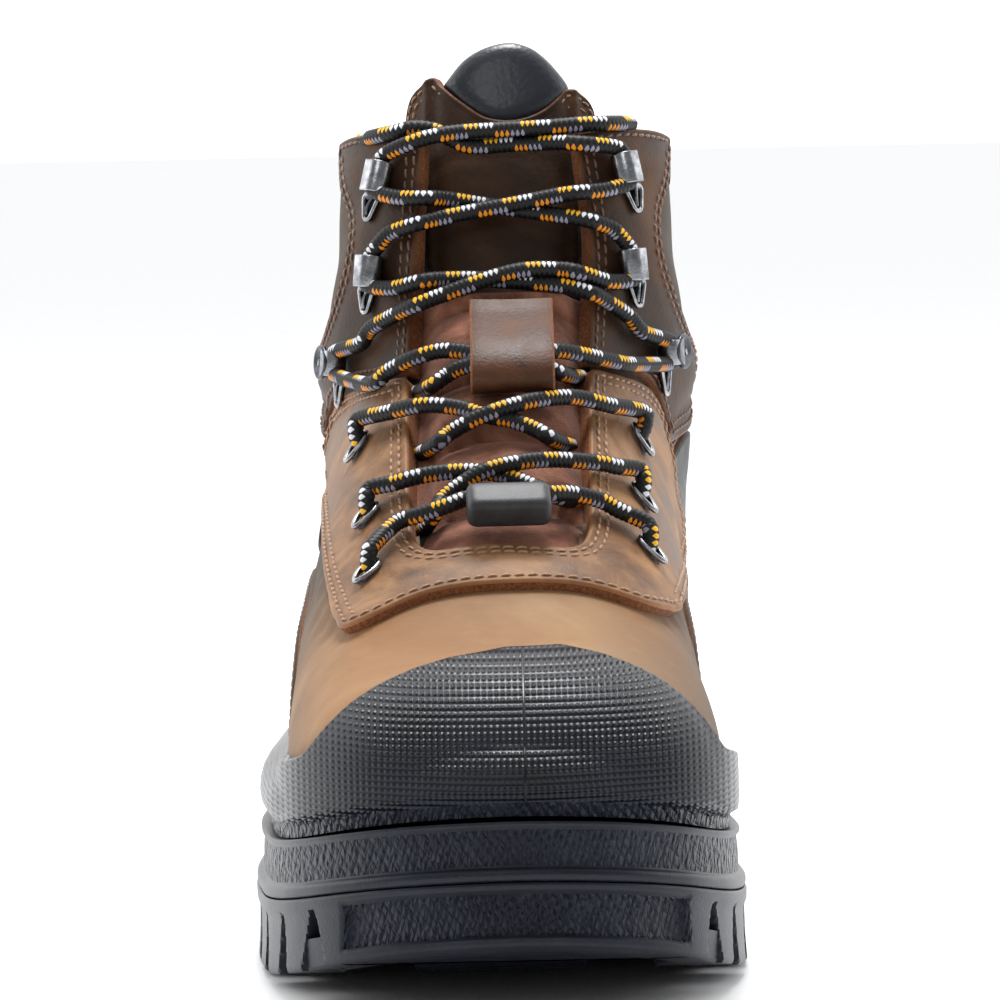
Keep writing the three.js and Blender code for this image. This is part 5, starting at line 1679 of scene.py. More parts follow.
# %% Midsole loft
MIDSOLE_SIDE = [
    # height, inset
    (17.7, 3.0), (17.75, 1.2), (18.0, 0.7), (18.4, 0.5), (19.1, 0.4), (19.8, 0.5), (20.3, 0.8),
    (20.7, 1.3), (21.0, 1.8), (21.4, 2.05), (25.2, 2.1), (27.0, 2.2), (28.8, 2.4), (29.4, 2.3), (29.8, 1.9),
    (30.2, 1.65), (30.7, 1.6), (31.0, 1.8), (31.15, 2.4), (31.2, 5.0), (31.2, 9.0),
]
BAND_ROWS = range(9, 13)
midsole_rings = np.array([sole_ring(height, by) for height, by in MIDSOLE_SIDE])
midsole_faces = ring_faces(len(MIDSOLE_SIDE), STATIONS)
midsole_looks = np.repeat([1 if i in BAND_ROWS else 0 for i in range(len(MIDSOLE_SIDE) - 1)], STATIONS)
make_piece("midsole_side", midsole_rings.reshape(-1, 3), midsole_faces, [plain_rubber, stroke_rubber],
           midsole_looks, sharp=50, instead_of=["midsole"], slot="midsole_rubber")

# %% [markdown]
# ## Rand and toe bumper
# The rand wraps the foot above the midsole and climbs over the safety toe as the bumper. On the real
# boot it is one moulding, so here it is one skin. From a spine inside the boot, rays fan out at each
# station of the outline. The skin lies where a ray leaves the larger of two forms: the rand's own side
# profile, and the last grown by the bumper's thickness. A soft maximum blends the two. Each profile
# stops at the edge line, which is an arch over the toe and the rand's top elsewhere.

# %% Rand skin
RAND_SIDE = [
    # height, inset
    (30.9, 3.9), (34.3, 3.6), (35.4, 3.1), (36.2, 2.3), (37.2, 1.7), (38.6, 1.45), (41.0, 1.6), (43.6, 2.3),
    (46.2, 3.8), (48.0, 6.0), (49.0, 8.5), (49.3, 13.0), (49.3, 26.0),
]
BUMPER_THICKNESS = 3.8
ARCH = [
    # x, z of the bumper's upper edge, seen from the front
    (-60, 34), (-47, 50), (-43, 54.5), (-39.6, 60.1), (-33, 67.1), (-25.5, 71.8), (-18, 74.8),
    (-10, 76.8), (2.5, 78.4),
    (15, 78.5), (24, 76.7), (32, 73.8), (38, 70.6), (43, 66.7), (48, 60.0), (50.5, 54.5), (53, 50), (66, 34),
]
TOE_CENTRE = -95.0
HEEL_CENTRE = 100.0
RAND_STATIONS = 480
RAND_STEPS = 46
SPINE_HEIGHT = 31.4
BAND_TOP = 34.4
SKIN_BLEND = 0.8


def bumper_offset(y):
    """The rubber's thickness over the last: the bumper's at the toe, next to nothing behind it."""
    return 0.25 + (BUMPER_THICKNESS - 0.25) * smooth((-66 - y) / 34)


def edge_height(x, y):
    """Height of the rubber's upper edge."""
    arch = np.interp(x, [p[0] for p in ARCH], [p[1] for p in ARCH])
    aside = smooth((abs(x - FOOT_MIDDLE) - 30) / 12)
    arch -= max(0.0, y + 112) * 1.2 * aside
    rand_top = 48.6 + lift(y)
    return float(np.logaddexp(arch / 1.2, rand_top / 1.2) * 1.2)


grown_grid = last_grid + bumper_offset(last_grid[:, :, 1])[:, :, None] * last_normals
toe_cap = grown_grid[0].mean(axis=0)
grown_grid = np.concatenate([np.broadcast_to(toe_cap, (1, AROUND, 3)), grown_grid])
grown_tree = tree_of(grown_grid)
rand_rings = np.array([sole_ring(height, by) for height, by in RAND_SIDE])
rand_tree = BVHTree.FromPolygons(rand_rings.reshape(-1, 3).tolist(),
                                 ring_faces(len(RAND_SIDE), STATIONS).tolist())


def leave(tree, origin, way):
    """How far a ray from inside a form goes before it leaves it."""
    hit, _, _, distance = tree.ray_cast(Vector(origin), Vector(way))
    return distance if hit is not None else 0.0


def spine_point(point):
    """The point of the boot's spine that faces a point of the outline."""
    y = min(max(point[1], TOE_CENTRE), HEEL_CENTRE)
    near = np.abs(outline[:, 1] - y) < 1.2
    return np.array([outline[near, 0].min() + outline[near, 0].max(), 2 * y]) / 2


def rand_profile(station):
    """Points of the skin at one station, from the midsole to the upper edge."""
    base = outline[station]
    spine = spine_point(base)
    way = base - spine
    way /= np.linalg.norm(way)
    origin = np.array([spine[0], spine[1], SPINE_HEIGHT + float(lift(base[1]))])
    line = []
    for degree in np.arange(0, 88, 1.0):
        tilt = math.radians(degree)
        ray = np.array([way[0] * math.cos(tilt), way[1] * math.cos(tilt), math.sin(tilt)])
        far = leave(rand_tree, origin, ray)
        skin = leave(grown_tree, origin, ray)
        reach = np.logaddexp(far / SKIN_BLEND, skin / SKIN_BLEND) * SKIN_BLEND
        reach -= SKIN_BLEND * math.log(2) * math.exp(-abs(far - skin))
        over_band = smooth((origin[2] + reach * ray[2] - float(lift(base[1])) - BAND_TOP) / 1.6)
        reach = far + (reach - far) * over_band
        point = origin + ray * reach
        over = point[2] - edge_height(point[0], point[1])
        if line and over > 0:
            before = line[-1]
            under = before[2] - edge_height(before[0], before[1])
            share = under / (under - over)
            line.append(before + (point - before) * share)
            break
        line.append(point)
    length = lengths_along(line)
    return at_lengths(np.linspace(0, 1, RAND_STEPS) ** 0.9 * length[-1], length, line)


def finish_lip(profile):
    """Rounds the skin's upper edge down onto the upper."""
    top, before = profile[-1], profile[-3]
    along = (top - before) / np.linalg.norm(top - before)
    near = np.array(last_tree.find_nearest(Vector(top))[0])
    down = near - top
    ends = [top + along * 0.35 + down * 0.08, top + along * 0.75 + down * 0.3,
            top + along * 0.95 + down * 0.65, top + along * 1.0 + down * 1.08]
    return np.concatenate([profile, ends])


profiles = [finish_lip(rand_profile(station)) for station in range(0, STATIONS, STATIONS // RAND_STATIONS)]
rand_grid = np.array(profiles).transpose(1, 0, 2)
SMOOTHINGS = 2
for _ in range(SMOOTHINGS):
    rand_grid = 0.5 * rand_grid + 0.25 * (np.roll(rand_grid, 1, axis=1) + np.roll(rand_grid, -1, axis=1))
rand_faces = ring_faces(rand_grid.shape[0], RAND_STATIONS)
rand_middles = rand_grid.reshape(-1, 3)[rand_faces].mean(axis=1)
in_band = rand_middles[:, 2] - lift(rand_middles[:, 1]) < 35.0
make_piece("rand_and_bumper", rand_grid.reshape(-1, 3), rand_faces, [grid_rubber, stroke_rubber],
           in_band.astype(int), sharp=None, instead_of=["rubber_rand"], slot="rand_rubber")
print("rand:", rand_grid.shape, "highest", rand_grid[:, :, 2].max().round(1))

# %% [markdown]
# ## Outsole
# The outsole's side wall shows the ends of the lugs, with notches between them that narrow upwards, and
# across the toe one wide lug with a sunk panel. The wall is a loft whose inset depends on the height
# and on how far the station is from the next notch. The lugs themselves are blocks below a plate, with
# a small bevel at the floor, in the rows that the tread has: side lugs, centre lugs, and a ladder of
# bars in the heel.

# %% Outsole side wall
LUG_DEPTH = 7.0
LIP_HEIGHT = 17.5
SIDE_LUG_PITCH = 0.072 * BOOT_LENGTH
SIDE_LUG_LENGTH = 0.048 * BOOT_LENGTH
SIDE_LUG_START = -0.4 * BOOT_LENGTH
NOTCH_DEPTH = 8.0
NOTCH_TOP = 14.6
TOE_PANEL = (-35.5, 42.5, 3.2, 15.6)
TOE_END = -100.0
TREAD_SPRING = 0.24
LUG_SHIFT = 1.7
LUGS_END = 0.085 * BOOT_LENGTH
BREAST = 0.19 * BOOT_LENGTH


def bend_tread(height):
    """The lift of the tread: the toe spring, and the heel rise only above the lugs."""
    share = np.clip(np.asarray(height) / LUG_DEPTH, 0, 1)
    more_spring = 1 + TREAD_SPRING * (1 - np.clip(np.asarray(height) / LIP_HEIGHT, 0, 1))
    return lambda y: spring_lift(y) * more_spring + rise_lift(y) * share


def station_near(side, y):
    """The station on one side of the outline nearest to y."""
    on_side = outline[:, 0] * side > 0
    return int(np.argmin(np.abs(outline[:, 1] - y) + np.where(on_side, 0, 1e6)))


def notch_centres():
    """Stations of the notches, each with half its width at the floor."""
    notches = [(station_near(-1, -125.0), 5.4), (station_near(1, -124.0), 4.8)]
    y = SIDE_LUG_START + SIDE_LUG_LENGTH - LUG_SHIFT + (SIDE_LUG_PITCH - SIDE_LUG_LENGTH) / 2
    while y < LUGS_END:
        notches += [(station_near(-1, y), 3.6), (station_near(1, y), 3.6)]
        y += SIDE_LUG_PITCH
    notches += [(station_near(-1, 43), 13.0), (station_near(1, 43), 13.0)]
    for y in np.arange(BREAST + 0.04 * BOOT_LENGTH, 0.43 * BOOT_LENGTH, 0.07 * BOOT_LENGTH):
        notches += [(station_near(-1, y + 2.5), 2.6), (station_near(1, y + 2.5), 2.6)]
    return notches


def wall_inset(height):
    """How far the side wall lies inside the outline at a height, for every station."""
    base = np.interp(height, [0, 0.6, 7, 13.4, 14.6, 16.8, 17.5], [0.9, 0.4, 0.8, 0.9, 0.35, 0.25, 0.7])
    result = np.full(STATIONS, base)
    for station, half in notches:
        gap = np.abs(station_at - station_at[station])
        gap = np.minimum(gap, outline_length - gap)
        top = NOTCH_TOP if half < 10 else 9.5
        width = half * max(1 - height / top, 0) ** 0.75
        if width > 0:
            result = np.maximum(result, base + NOTCH_DEPTH * smooth((width - gap) / 0.9 + 0.5))
    left, right, low, high = TOE_PANEL
    edge_x = np.minimum(outline[:, 0] - left, right - outline[:, 0])
    edge_z = min(height - low, high - height)
    sunk = 1.1 * smooth(edge_x / 0.9) * float(smooth(edge_z / 0.7)) * (outline[:, 1] < TOE_END)
    return result + sunk


notches = notch_centres()
WALL_HEIGHTS = [0.0, 0.35, 0.8, 1.6, 2.6, 3.6, 4.1, 4.6, 5.3, 6.2, 7.0, 8.0, 9.0, 10.0, 11.0, 12.0, 13.0,
                13.8, 14.6, 15.4, 15.9, 16.3, 16.8, 17.2, 17.5]
wall_rings = [sole_ring(LUG_DEPTH, 9.5, bend_tread(LUG_DEPTH)), sole_ring(0.0, 9.4, bend_tread(0.0))]
wall_rings += [sole_ring(height, wall_inset(height), bend_tread(height)) for height in WALL_HEIGHTS]
wall_rings.append(sole_ring(LIP_HEIGHT, 4.0))
wall_count = len(wall_rings)
spines = np.array([spine_point(point) for point in outline])
plate_rings = []
for share in (0.0, 0.35, 0.7, 1.0):
    ring = wall_rings[0].copy()
    ring[:, :2] += (spines - ring[:, :2]) * share
    ring[:, 2] = LUG_DEPTH + 0.05 + lift(ring[:, 1])
    plate_rings.append(ring)
outsole = Pile()
wall_faces = ring_faces(wall_count, STATIONS)
in_toe = (outline[:, 0] > TOE_PANEL[0]) & (outline[:, 0] < TOE_PANEL[1]) & (outline[:, 1] < TOE_END)
wall_looks = []
for row in range(wall_count - 1):
    height = ([LUG_DEPTH, 0.0] + WALL_HEIGHTS + [LIP_HEIGHT])[row]
    within = 1 < row and TOE_PANEL[2] < height < TOE_PANEL[3] - 1
    wall_looks += [1 if within and flag else 0 for flag in in_toe]
outsole.add(np.concatenate(wall_rings), wall_faces)
outsole.finish_of = wall_looks
outsole.add(np.concatenate(plate_rings), ring_faces(len(plate_rings), STATIONS)[:, ::-1].tolist())


# %% Lugs
LUG_TOP = LUG_DEPTH + 0.6
LUG_BEVEL = 0.7


def block(pile, plan):
    """A lug over a plan of points, with a bevel at the floor, bent to the tread."""
    plan, inward = with_inward(plan)
    count = len(plan)
    points = []
    for height, by in ((0.0, LUG_BEVEL + 0.2), (LUG_BEVEL, 0.2), (LUG_TOP, -0.3)):
        flat = plan + inward * by
        points.append(np.column_stack([flat, height + bend_tread(height)(flat[:, 1])]))
    pile.add(np.concatenate(points), ring_faces(3, count).tolist() + end_faces(3, count)[:1])


def side_plan(side, y_from, y_to, inner_from, inner_to, inner_x):
    """Plan of a side lug: its outer end follows the outline."""
    on_side = np.where((outline[:, 0] * side > 0) & (outline[:, 1] > y_from) & (outline[:, 1] < y_to))[0]
    on_side = on_side[np.argsort(outline[on_side, 1])][::4]
    outer_end = outline[on_side] + outline_inward[on_side] * 1.4
    return np.concatenate([outer_end, [(side * inner_x, inner_to), (side * inner_x, inner_from)]])


inner_reach = 0.3 * SOLE_WIDTH
centre_reach = 0.17 * SOLE_WIDTH
y = SIDE_LUG_START
lug_rows = 0
while y + SIDE_LUG_LENGTH < LUGS_END:
    y_from, y_to = y - LUG_SHIFT, y + SIDE_LUG_LENGTH - LUG_SHIFT
    if lug_rows == 0:
        y_from = -134.0
    for side in (-1, 1):
        block(outsole, side_plan(side, y_from + 0.6, y_to - 0.6, y, y + SIDE_LUG_LENGTH, inner_reach))
    middle = y + 0.4 * SIDE_LUG_PITCH
    reach = 0.8 * SIDE_LUG_LENGTH
    block(outsole, [(-centre_reach, middle), (0, middle - 3), (centre_reach, middle),
                    (centre_reach, middle + reach), (0, middle + reach - 3), (-centre_reach, middle + reach)])
    y += SIDE_LUG_PITCH
    lug_rows += 1
toe_x = (outline[:, 0] > TOE_PANEL[0] - 1) & (outline[:, 0] < TOE_PANEL[1] + 1) & (outline[:, 1] < TOE_END)
toe_edge = (outline + outline_inward * 3.4)[toe_x]
toe_edge = toe_edge[np.argsort(toe_edge[:, 0])][::4]
block(outsole, np.concatenate([toe_edge, [(42.0, -133.2), (-35.0, -133.2)]]))

# %% Heel of the tread
heel_line = outline[outline[:, 1] > BREAST]
heel_in = outline_inward[outline[:, 1] > BREAST]
order = np.argsort(np.arctan2(heel_line[:, 1] - BREAST, heel_line[:, 0]))
heel_line, heel_in = heel_line[order][::3], heel_in[order][::3]
outer_rim = heel_line + heel_in * 3.0
inner_rim = heel_line + heel_in * 17.0
inner_rim[:, 1] = np.maximum(inner_rim[:, 1], BREAST + 14)
heel_rings = []
for height, outer_by, inner_by in ((0.0, 0.7, -0.7), (0.7, 0.0, 0.0), (LUG_DEPTH + 0.4, -0.3, 0.3)):
    outer_flat = outer_rim + heel_in * outer_by
    inner_flat = inner_rim + heel_in * inner_by
    outer_flat[[0, -1], 1] = BREAST + max(outer_by, 0)
    heel_rings.append((height, outer_flat, inner_flat))
for start in range(0, len(heel_line) - 6, 6):
    stop = min(start + 6, len(heel_line) - 1)
    rows = []
    for height, outer_flat, inner_flat in heel_rings:
        flat = np.concatenate([outer_flat[start:stop + 1], inner_flat[start:stop + 1][::-1]])
        rows.append(np.column_stack([flat, height + bend_tread(height)(flat[:, 1])]))
    count = len(rows[0])
    outsole.add(np.concatenate(rows), ring_faces(3, count).tolist() + end_faces(3, count)[:1])
breast_half = float(np.abs(heel_line[0, 0])) - 3
block(outsole, [(-breast_half, BREAST + 0.6), (breast_half, BREAST + 0.6), (breast_half, BREAST + 14),
                (-breast_half, BREAST + 14)])
for at in (0.255, 0.3, 0.345, 0.39):
    low_y, high_y = at * BOOT_LENGTH, (at + 0.028) * BOOT_LENGTH
    block(outsole, [(-0.2 * SOLE_WIDTH, low_y), (0.22 * SOLE_WIDTH, low_y), (0.22 * SOLE_WIDTH, high_y),
                    (-0.2 * SOLE_WIDTH, high_y)])
outsole.piece("outsole_tread", [plain_rubber, stroke_rubber], sharp=38, instead_of=["outsole"],
              slot="tread_rubber")
print("outsole:", len(outsole.faces), "faces,", lug_rows, "rows of lugs")

# %% [markdown]
# ## Metal
# The hooks and loops are pressed from steel sheet and bent from wire, then plated in dark nickel. Plating
# is a pure metal surface: its colour sits in the reflection. Its roughness is lower on the bends, the
# wire and the small studs than on the flat that stays as rolled, and there the colour is painted much
# lighter, a painted highlight. A small noise in the normal breaks up the reflection, as handling does.


# %% Metal finishes
def plated_steel(name, dark, light, roughness):
    material, tree, shader, place = new_finish(name, roughness, ior=2.5, metallic=1.0)
    handling = add(tree, "TexNoise", {"Vector": place}, {"Scale": 420.0, "Detail": 4.0})
    tone = ramp(tree, (handling, 0), [(0.35, dark), (0.65, light)])
    scratches = add(tree, "TexNoise", {"Vector": place}, {"Scale": 1300.0, "Detail": 3.0})
    dress(tree, shader, (tone, 0), (scratches, 0), 0.18, 0.0002)
    return material


# The same plating painted much lighter, for the bends, the wire and the small studs: a painted highlight.
painted_highlight_nickel = plated_steel("painted_highlight_nickel", "7b7d81", "a6a8ac", 0.26)
dark_nickel = plated_steel("dark_nickel", "3a3b40", "54565c", 0.34)
# Nearly black steel laid in rivet holes, open legs and lock hook slots: painted shade inside them.
painted_hole_shade = plated_steel("rivet_hole_painted_shade", "101113", "1a1b1e", 0.5)

# %% [markdown]
# ### Frames on the front
# Each metal part is drawn flat in its own small frame: x across, y up the leather, z out of it. The
# frame is then set on the boot at the place of the real part, so that it leans with the leather.


# %% Helpers for metal parts
class Seat:
    """A small frame on the front of the boot, for a part drawn flat."""

    def __init__(self, x, z, distance, turn=0.0):
        place = find("front", x, z)
        self.out = sample(last_normals, place)[0]
        across = np.cross((0.0, 0.0, 1.0), self.out)
        across /= np.linalg.norm(across)
        up = np.cross(self.out, across)
        cos, sin = math.cos(turn), math.sin(turn)
        self.across = across * cos + up * sin
        self.up = up * cos - across * sin
        self.origin = sample(last_grid, place)[0] + distance * self.out

    def to_boot(self, points):
        return self.origin + np.asarray(points, dtype=float) @ np.stack([self.across, self.up, self.out])


def add_plate(pile, seat, plan, low, high, bevel, finish):
    """A flat plate over a plan, with its upper edge rounded off."""
    plan, inward = with_inward(plan)
    rings = []
    for height, by in ((low, 0.0), (high - bevel, 0.0), (high - 0.3 * bevel, 0.3 * bevel), (high, bevel)):
        rings.append(np.column_stack([plan + inward * by, np.full(len(plan), height)]))
    faces = ring_faces(len(rings), len(plan)).tolist() + end_faces(len(rings), len(plan))
    pile.add(seat.to_boot(np.concatenate(rings)), faces, finish)


def rounded_plan(corners, radius, steps=6):
    """A closed plan with its corners rounded."""
    corners = np.asarray(corners, dtype=float)
    plan = []
    for before, corner, after in zip(np.roll(corners, 1, axis=0), corners, np.roll(corners, -1, axis=0)):
        first = (before - corner) / np.linalg.norm(before - corner)
        second = (after - corner) / np.linalg.norm(after - corner)
        reach = min(radius, 0.45 * np.linalg.norm(before - corner), 0.45 * np.linalg.norm(after - corner))
        start, end = corner + first * reach, corner + second * reach
        for t in np.linspace(0, 1, steps):
            plan.append((1 - t) ** 2 * start + 2 * t * (1 - t) * corner + t ** 2 * end)
    return np.array(plan)


def oval_plan(middle, half_x, half_y, lean=0.0, steps=20):
    angle = np.arange(steps) * 2 * np.pi / steps
    x, y = half_x * np.cos(angle), half_y * np.sin(angle)
    return np.stack([middle[0] + x * math.cos(lean) - y * math.sin(lean),
                     middle[1] + x * math.sin(lean) + y * math.cos(lean)], axis=1)


def sheet_section(height, thickness):
    """Section of a sheet strip: half its height along out, its thickness along side."""
    h, t = height / 2, thickness / 2
    return rounded_plan([(-h, -t), (h, -t), (h, t), (-h, t)], 0.3, 4)


# %% [markdown]
# ### Lace loops
# A loop is a pointed ring of wire on a small foot. Its upper end lies on the leather, and its lower end
# stands off it, so that the lace runs over the top, in, and back under the leather.

# %% Loops
LOOPS = [
    # name, side, across, up: shares as in the front patterns
    ("A", "lateral", -0.522, 0.462), ("B", "lateral", -0.522, 0.522), ("C", "lateral", -0.552, 0.598),
    ("A", "medial", 0.663, 0.478), ("B", "medial", 0.633, 0.535), ("C", "medial", 0.643, 0.601),
]
LOOP_SEAT = 3.05
WIRE = 1.35
loop_seats = {}
for letter, side, across, up in LOOPS:
    seat = Seat(across * BALL_WIDTH / 2, up * COLLAR_HEIGHT, LOOP_SEAT, 0.22 if side == "lateral" else -0.22)
    loop_seats[letter, side] = seat
    turn = np.arange(56) * 2 * np.pi / 56
    y = -4.3 * np.cos(turn)
    x = 2.75 * np.sin(turn) * (0.8 + 0.2 * y / 4.3)
    ring = np.stack([x, y - 2.9, 1.25 - 0.1 * y], axis=1)
    loop = Pile()
    sweep(loop, seat.to_boot(ring), round_section(WIRE / 2, 14), seat.out, closed=True)
    foot = rounded_plan([(-1.6, -6.4), (1.6, -6.4), (2.5, 0.6), (-2.5, 0.6)], 1.8)
    add_plate(loop, seat, foot, -0.3, 0.6, 0.3, finish=1)
    # A stud on the foot in the lighter nickel: a painted highlight.
    add_plate(loop, seat, oval_plan((0, -4.0), 0.9, 1.6), 0.4, 1.05, 0.4, finish=0)
    loop.piece(f"lace_loop_{letter}_{side}", [painted_highlight_nickel, dark_nickel], sharp=45,
               instead_of=[f"eyelet_{letter}_{side}"], slot="loop_metal")
print("loops:", len(LOOPS))

# %% [markdown]
# ### Speed hooks
# A speed hook is one strip of sheet: a plate riveted to the leather, and a strip from its throat side
# bent over into a U that is open away from the throat. A pressed leg below the plate keeps the hook from
# turning.

# %% Speed hooks
HOOKS = [
    # number, side, across, up: shares as in the front patterns
    ("5", "lateral", -0.49, 0.798), ("6", "lateral", -0.452, 0.911),
    ("5", "medial", 0.628, 0.8), ("6", "medial", 0.618, 0.916),
]
HOOK_SEAT = 2.75
BEND = 2.75
SHEET = 0.85
HOOK_RISE = 1.6
BAND_TALL = 7.8


def leg_ring(seat, pile, middle, top, bottom, half_top, half_bottom, finish):
    """The open leg: a flat ring of metal that narrows downwards."""
    corners = [(middle - half_top, top), (middle - half_bottom, bottom), (middle + half_bottom, bottom),
               (middle + half_top, top)]
    plan = rounded_plan(corners, 2.2, 9)
    path = np.column_stack([plan, np.full(len(plan), 0.75)])
    sweep(pile, seat.to_boot(path), round_section(0.62, 10), seat.out, closed=True, finish=finish)
    bar = np.array([(middle + 0.3 * half_top, top - 0.4, 0.9), (middle - 0.2, (top + bottom) / 2, 1.2),
                    (middle - 0.3 * half_bottom, bottom + 1.0, 0.9)])
    sweep(pile, seat.to_boot(through(bar, 5)), round_section(0.45, 8), seat.out, finish=finish)
    # A black plate inside the ring paints the shade seen through the open leg.
    add_plate(pile, seat, rounded_plan(corners, 1.6), -0.2, 0.35, 0.2, finish=2)


hook_seats = {}
for number, side, across, up in HOOKS:
    away = -1 if side == "lateral" else 1
    seat = Seat(across * BALL_WIDTH / 2, up * COLLAR_HEIGHT, HOOK_SEAT)
    hook_seats[number, side] = seat
    hook = Pile()
    bend = [(-away * BEND * math.sin(a), HOOK_RISE, 0.45 + BEND - BEND * math.cos(a))
            for a in np.linspace(0, math.pi, 17)]
    strip = [(away * 2.4, HOOK_RISE, 0.45)] + bend + [
        (away * 0.7, HOOK_RISE, 0.5 + 2 * BEND), (away * 1.7, HOOK_RISE, 0.6 + 2 * BEND)]
    sweep(hook, seat.to_boot(strip), sheet_section(BAND_TALL, SHEET), seat.up, finish=0)
    half = BAND_TALL / 2
    plate = rounded_plan([
        (away * 0.5, HOOK_RISE + half), (away * 3.6, HOOK_RISE + half - 0.2), (away * 6.2, HOOK_RISE + 1.3),
        (away * 6.3, HOOK_RISE - half), (away * 5.0, HOOK_RISE - half - 1.3), (away * 0.5, HOOK_RISE - half),
    ], 0.9)
    add_plate(hook, seat, plate, -0.3, 1.0, 0.3, finish=1)
    lean = 0.4 * away
    # A black oval round the rivet paints the shade in its hole, and the head in lighter nickel paints its
    # highlight.
    add_plate(hook, seat, oval_plan((away * 4.1, HOOK_RISE - 0.3), 1.15, 2.1, lean), 0.9, 1.18, 0.1, finish=2)
    add_plate(hook, seat, oval_plan((away * 4.0, HOOK_RISE - 0.5), 0.42, 1.3, lean), 1.0, 1.45, 0.2, finish=0)
    leg_ring(seat, hook, away * 3.4, HOOK_RISE - half + 0.4, -8.4, 3.1, 0.9, finish=0)
    hook.piece(f"speed_hook_{number}_{side}_plated", [painted_highlight_nickel, dark_nickel, painted_hole_shade], sharp=45,
               instead_of=[f"speed_hook_{number}_{side}"], slot="hook_metal")
print("speed hooks:", len(HOOKS))

# %% [markdown]
# ### Lock hooks
# The lock hook holds the lace at the ankle. It has the same leg and bend, but its front is a round head
# with a rolled rim, wide enough that the lace can't slip off.

# %% Lock hooks
LOCKS = [("lateral", -0.663, 0.677), ("medial", 0.793, 0.685)]
LOCK_HEAD = [
    # radius, height above the middle of the head
    (0.01, -0.7), (3.4, -0.7), (4.0, -0.6), (4.25, -0.2), (4.3, 0.15), (4.1, 0.5), (3.75, 0.6), (3.35, 0.5),
    (3.05, 0.22), (2.6, 0.15), (0.01, 0.12),
]
LOCK_LIFT = 5.6
LOCK_SEAT = 3.0
LOCK_RISE = 1.8


def add_lathe(pile, seat, middle, profile, finish, steps=40):
    """A turned form about an axis out of the leather. profile: radius and height, from below."""
    angle = np.arange(steps) * 2 * np.pi / steps
    rings = [np.column_stack([middle[0] + radius * np.cos(angle), middle[1] + radius * np.sin(angle),
                              np.full(steps, height)]) for radius, height in profile]
    faces = ring_faces(len(rings), steps).tolist()
    pile.add(seat.to_boot(np.concatenate(rings)), faces, finish)


lock_seats = {}
for side, across, up in LOCKS:
    away = -1 if side == "lateral" else 1
    seat = Seat(across * BALL_WIDTH / 2, up * COLLAR_HEIGHT, LOCK_SEAT)
    lock_seats[side] = seat
    lock = Pile()
    head = [(radius, LOCK_LIFT + height) for radius, height in LOCK_HEAD]
    add_lathe(lock, seat, (away * 1.2, LOCK_RISE), head, 1)
    radius = (LOCK_LIFT - 0.5) / 2
    bend = [(-away * (1.4 + radius * math.sin(a)), LOCK_RISE, 0.5 + radius - radius * math.cos(a))
            for a in np.linspace(0, math.pi, 15)]
    strip = [(away * 1.5, LOCK_RISE, 0.45)] + bend + [(away * 0.4, LOCK_RISE, 0.6 + 2 * radius)]
    sweep(lock, seat.to_boot(strip), sheet_section(6.2, SHEET), seat.up, finish=0)
    # The slot is a black oval of painted shade, with a lighter oval in it that paints the highlight on its
    # edge.
    slot_lean = -0.25 * away
    add_plate(lock, seat, oval_plan((away * 1.6, LOCK_RISE + 0.2), 2.2, 1.15, slot_lean), LOCK_LIFT,
              LOCK_LIFT + 0.3, 0.1, finish=2)
    add_plate(lock, seat, oval_plan((away * 1.9, LOCK_RISE - 0.1), 0.5, 1.0, 0.5 * away), LOCK_LIFT + 0.1,
              LOCK_LIFT + 0.55, 0.2, finish=0)
    leg_ring(seat, lock, away * 0.8, LOCK_RISE - 2.6, -8.6, 3.3, 0.9, finish=0)
    lock.piece(f"lock_hook_{side}_plated", [painted_highlight_nickel, dark_nickel, painted_hole_shade], sharp=45,
               instead_of=[f"lock_hook_{side}"], slot="hook_metal")
print("lock hooks:", len(LOCKS))

# %% [markdown]
# ## Laces
# The lace is a round braid, four millimetres thick, with bumps in eight rows. Black strands make the
# body. Two rows on its front carry coloured flecks: three yellow bumps and three white ones above, and
# three orange and three grey ones below, half a repeat later. The bumps of the braid are real relief here,
# because they show along the lace's outline.

# %% Lace finish
BRAID_ROWS = 8
LACE_RADIUS = 2.0
ROW_WIDTH = 2 * math.pi * LACE_RADIUS / BRAID_ROWS
BUMP_LENGTH = 1.26
FLECK_REPEAT = 11


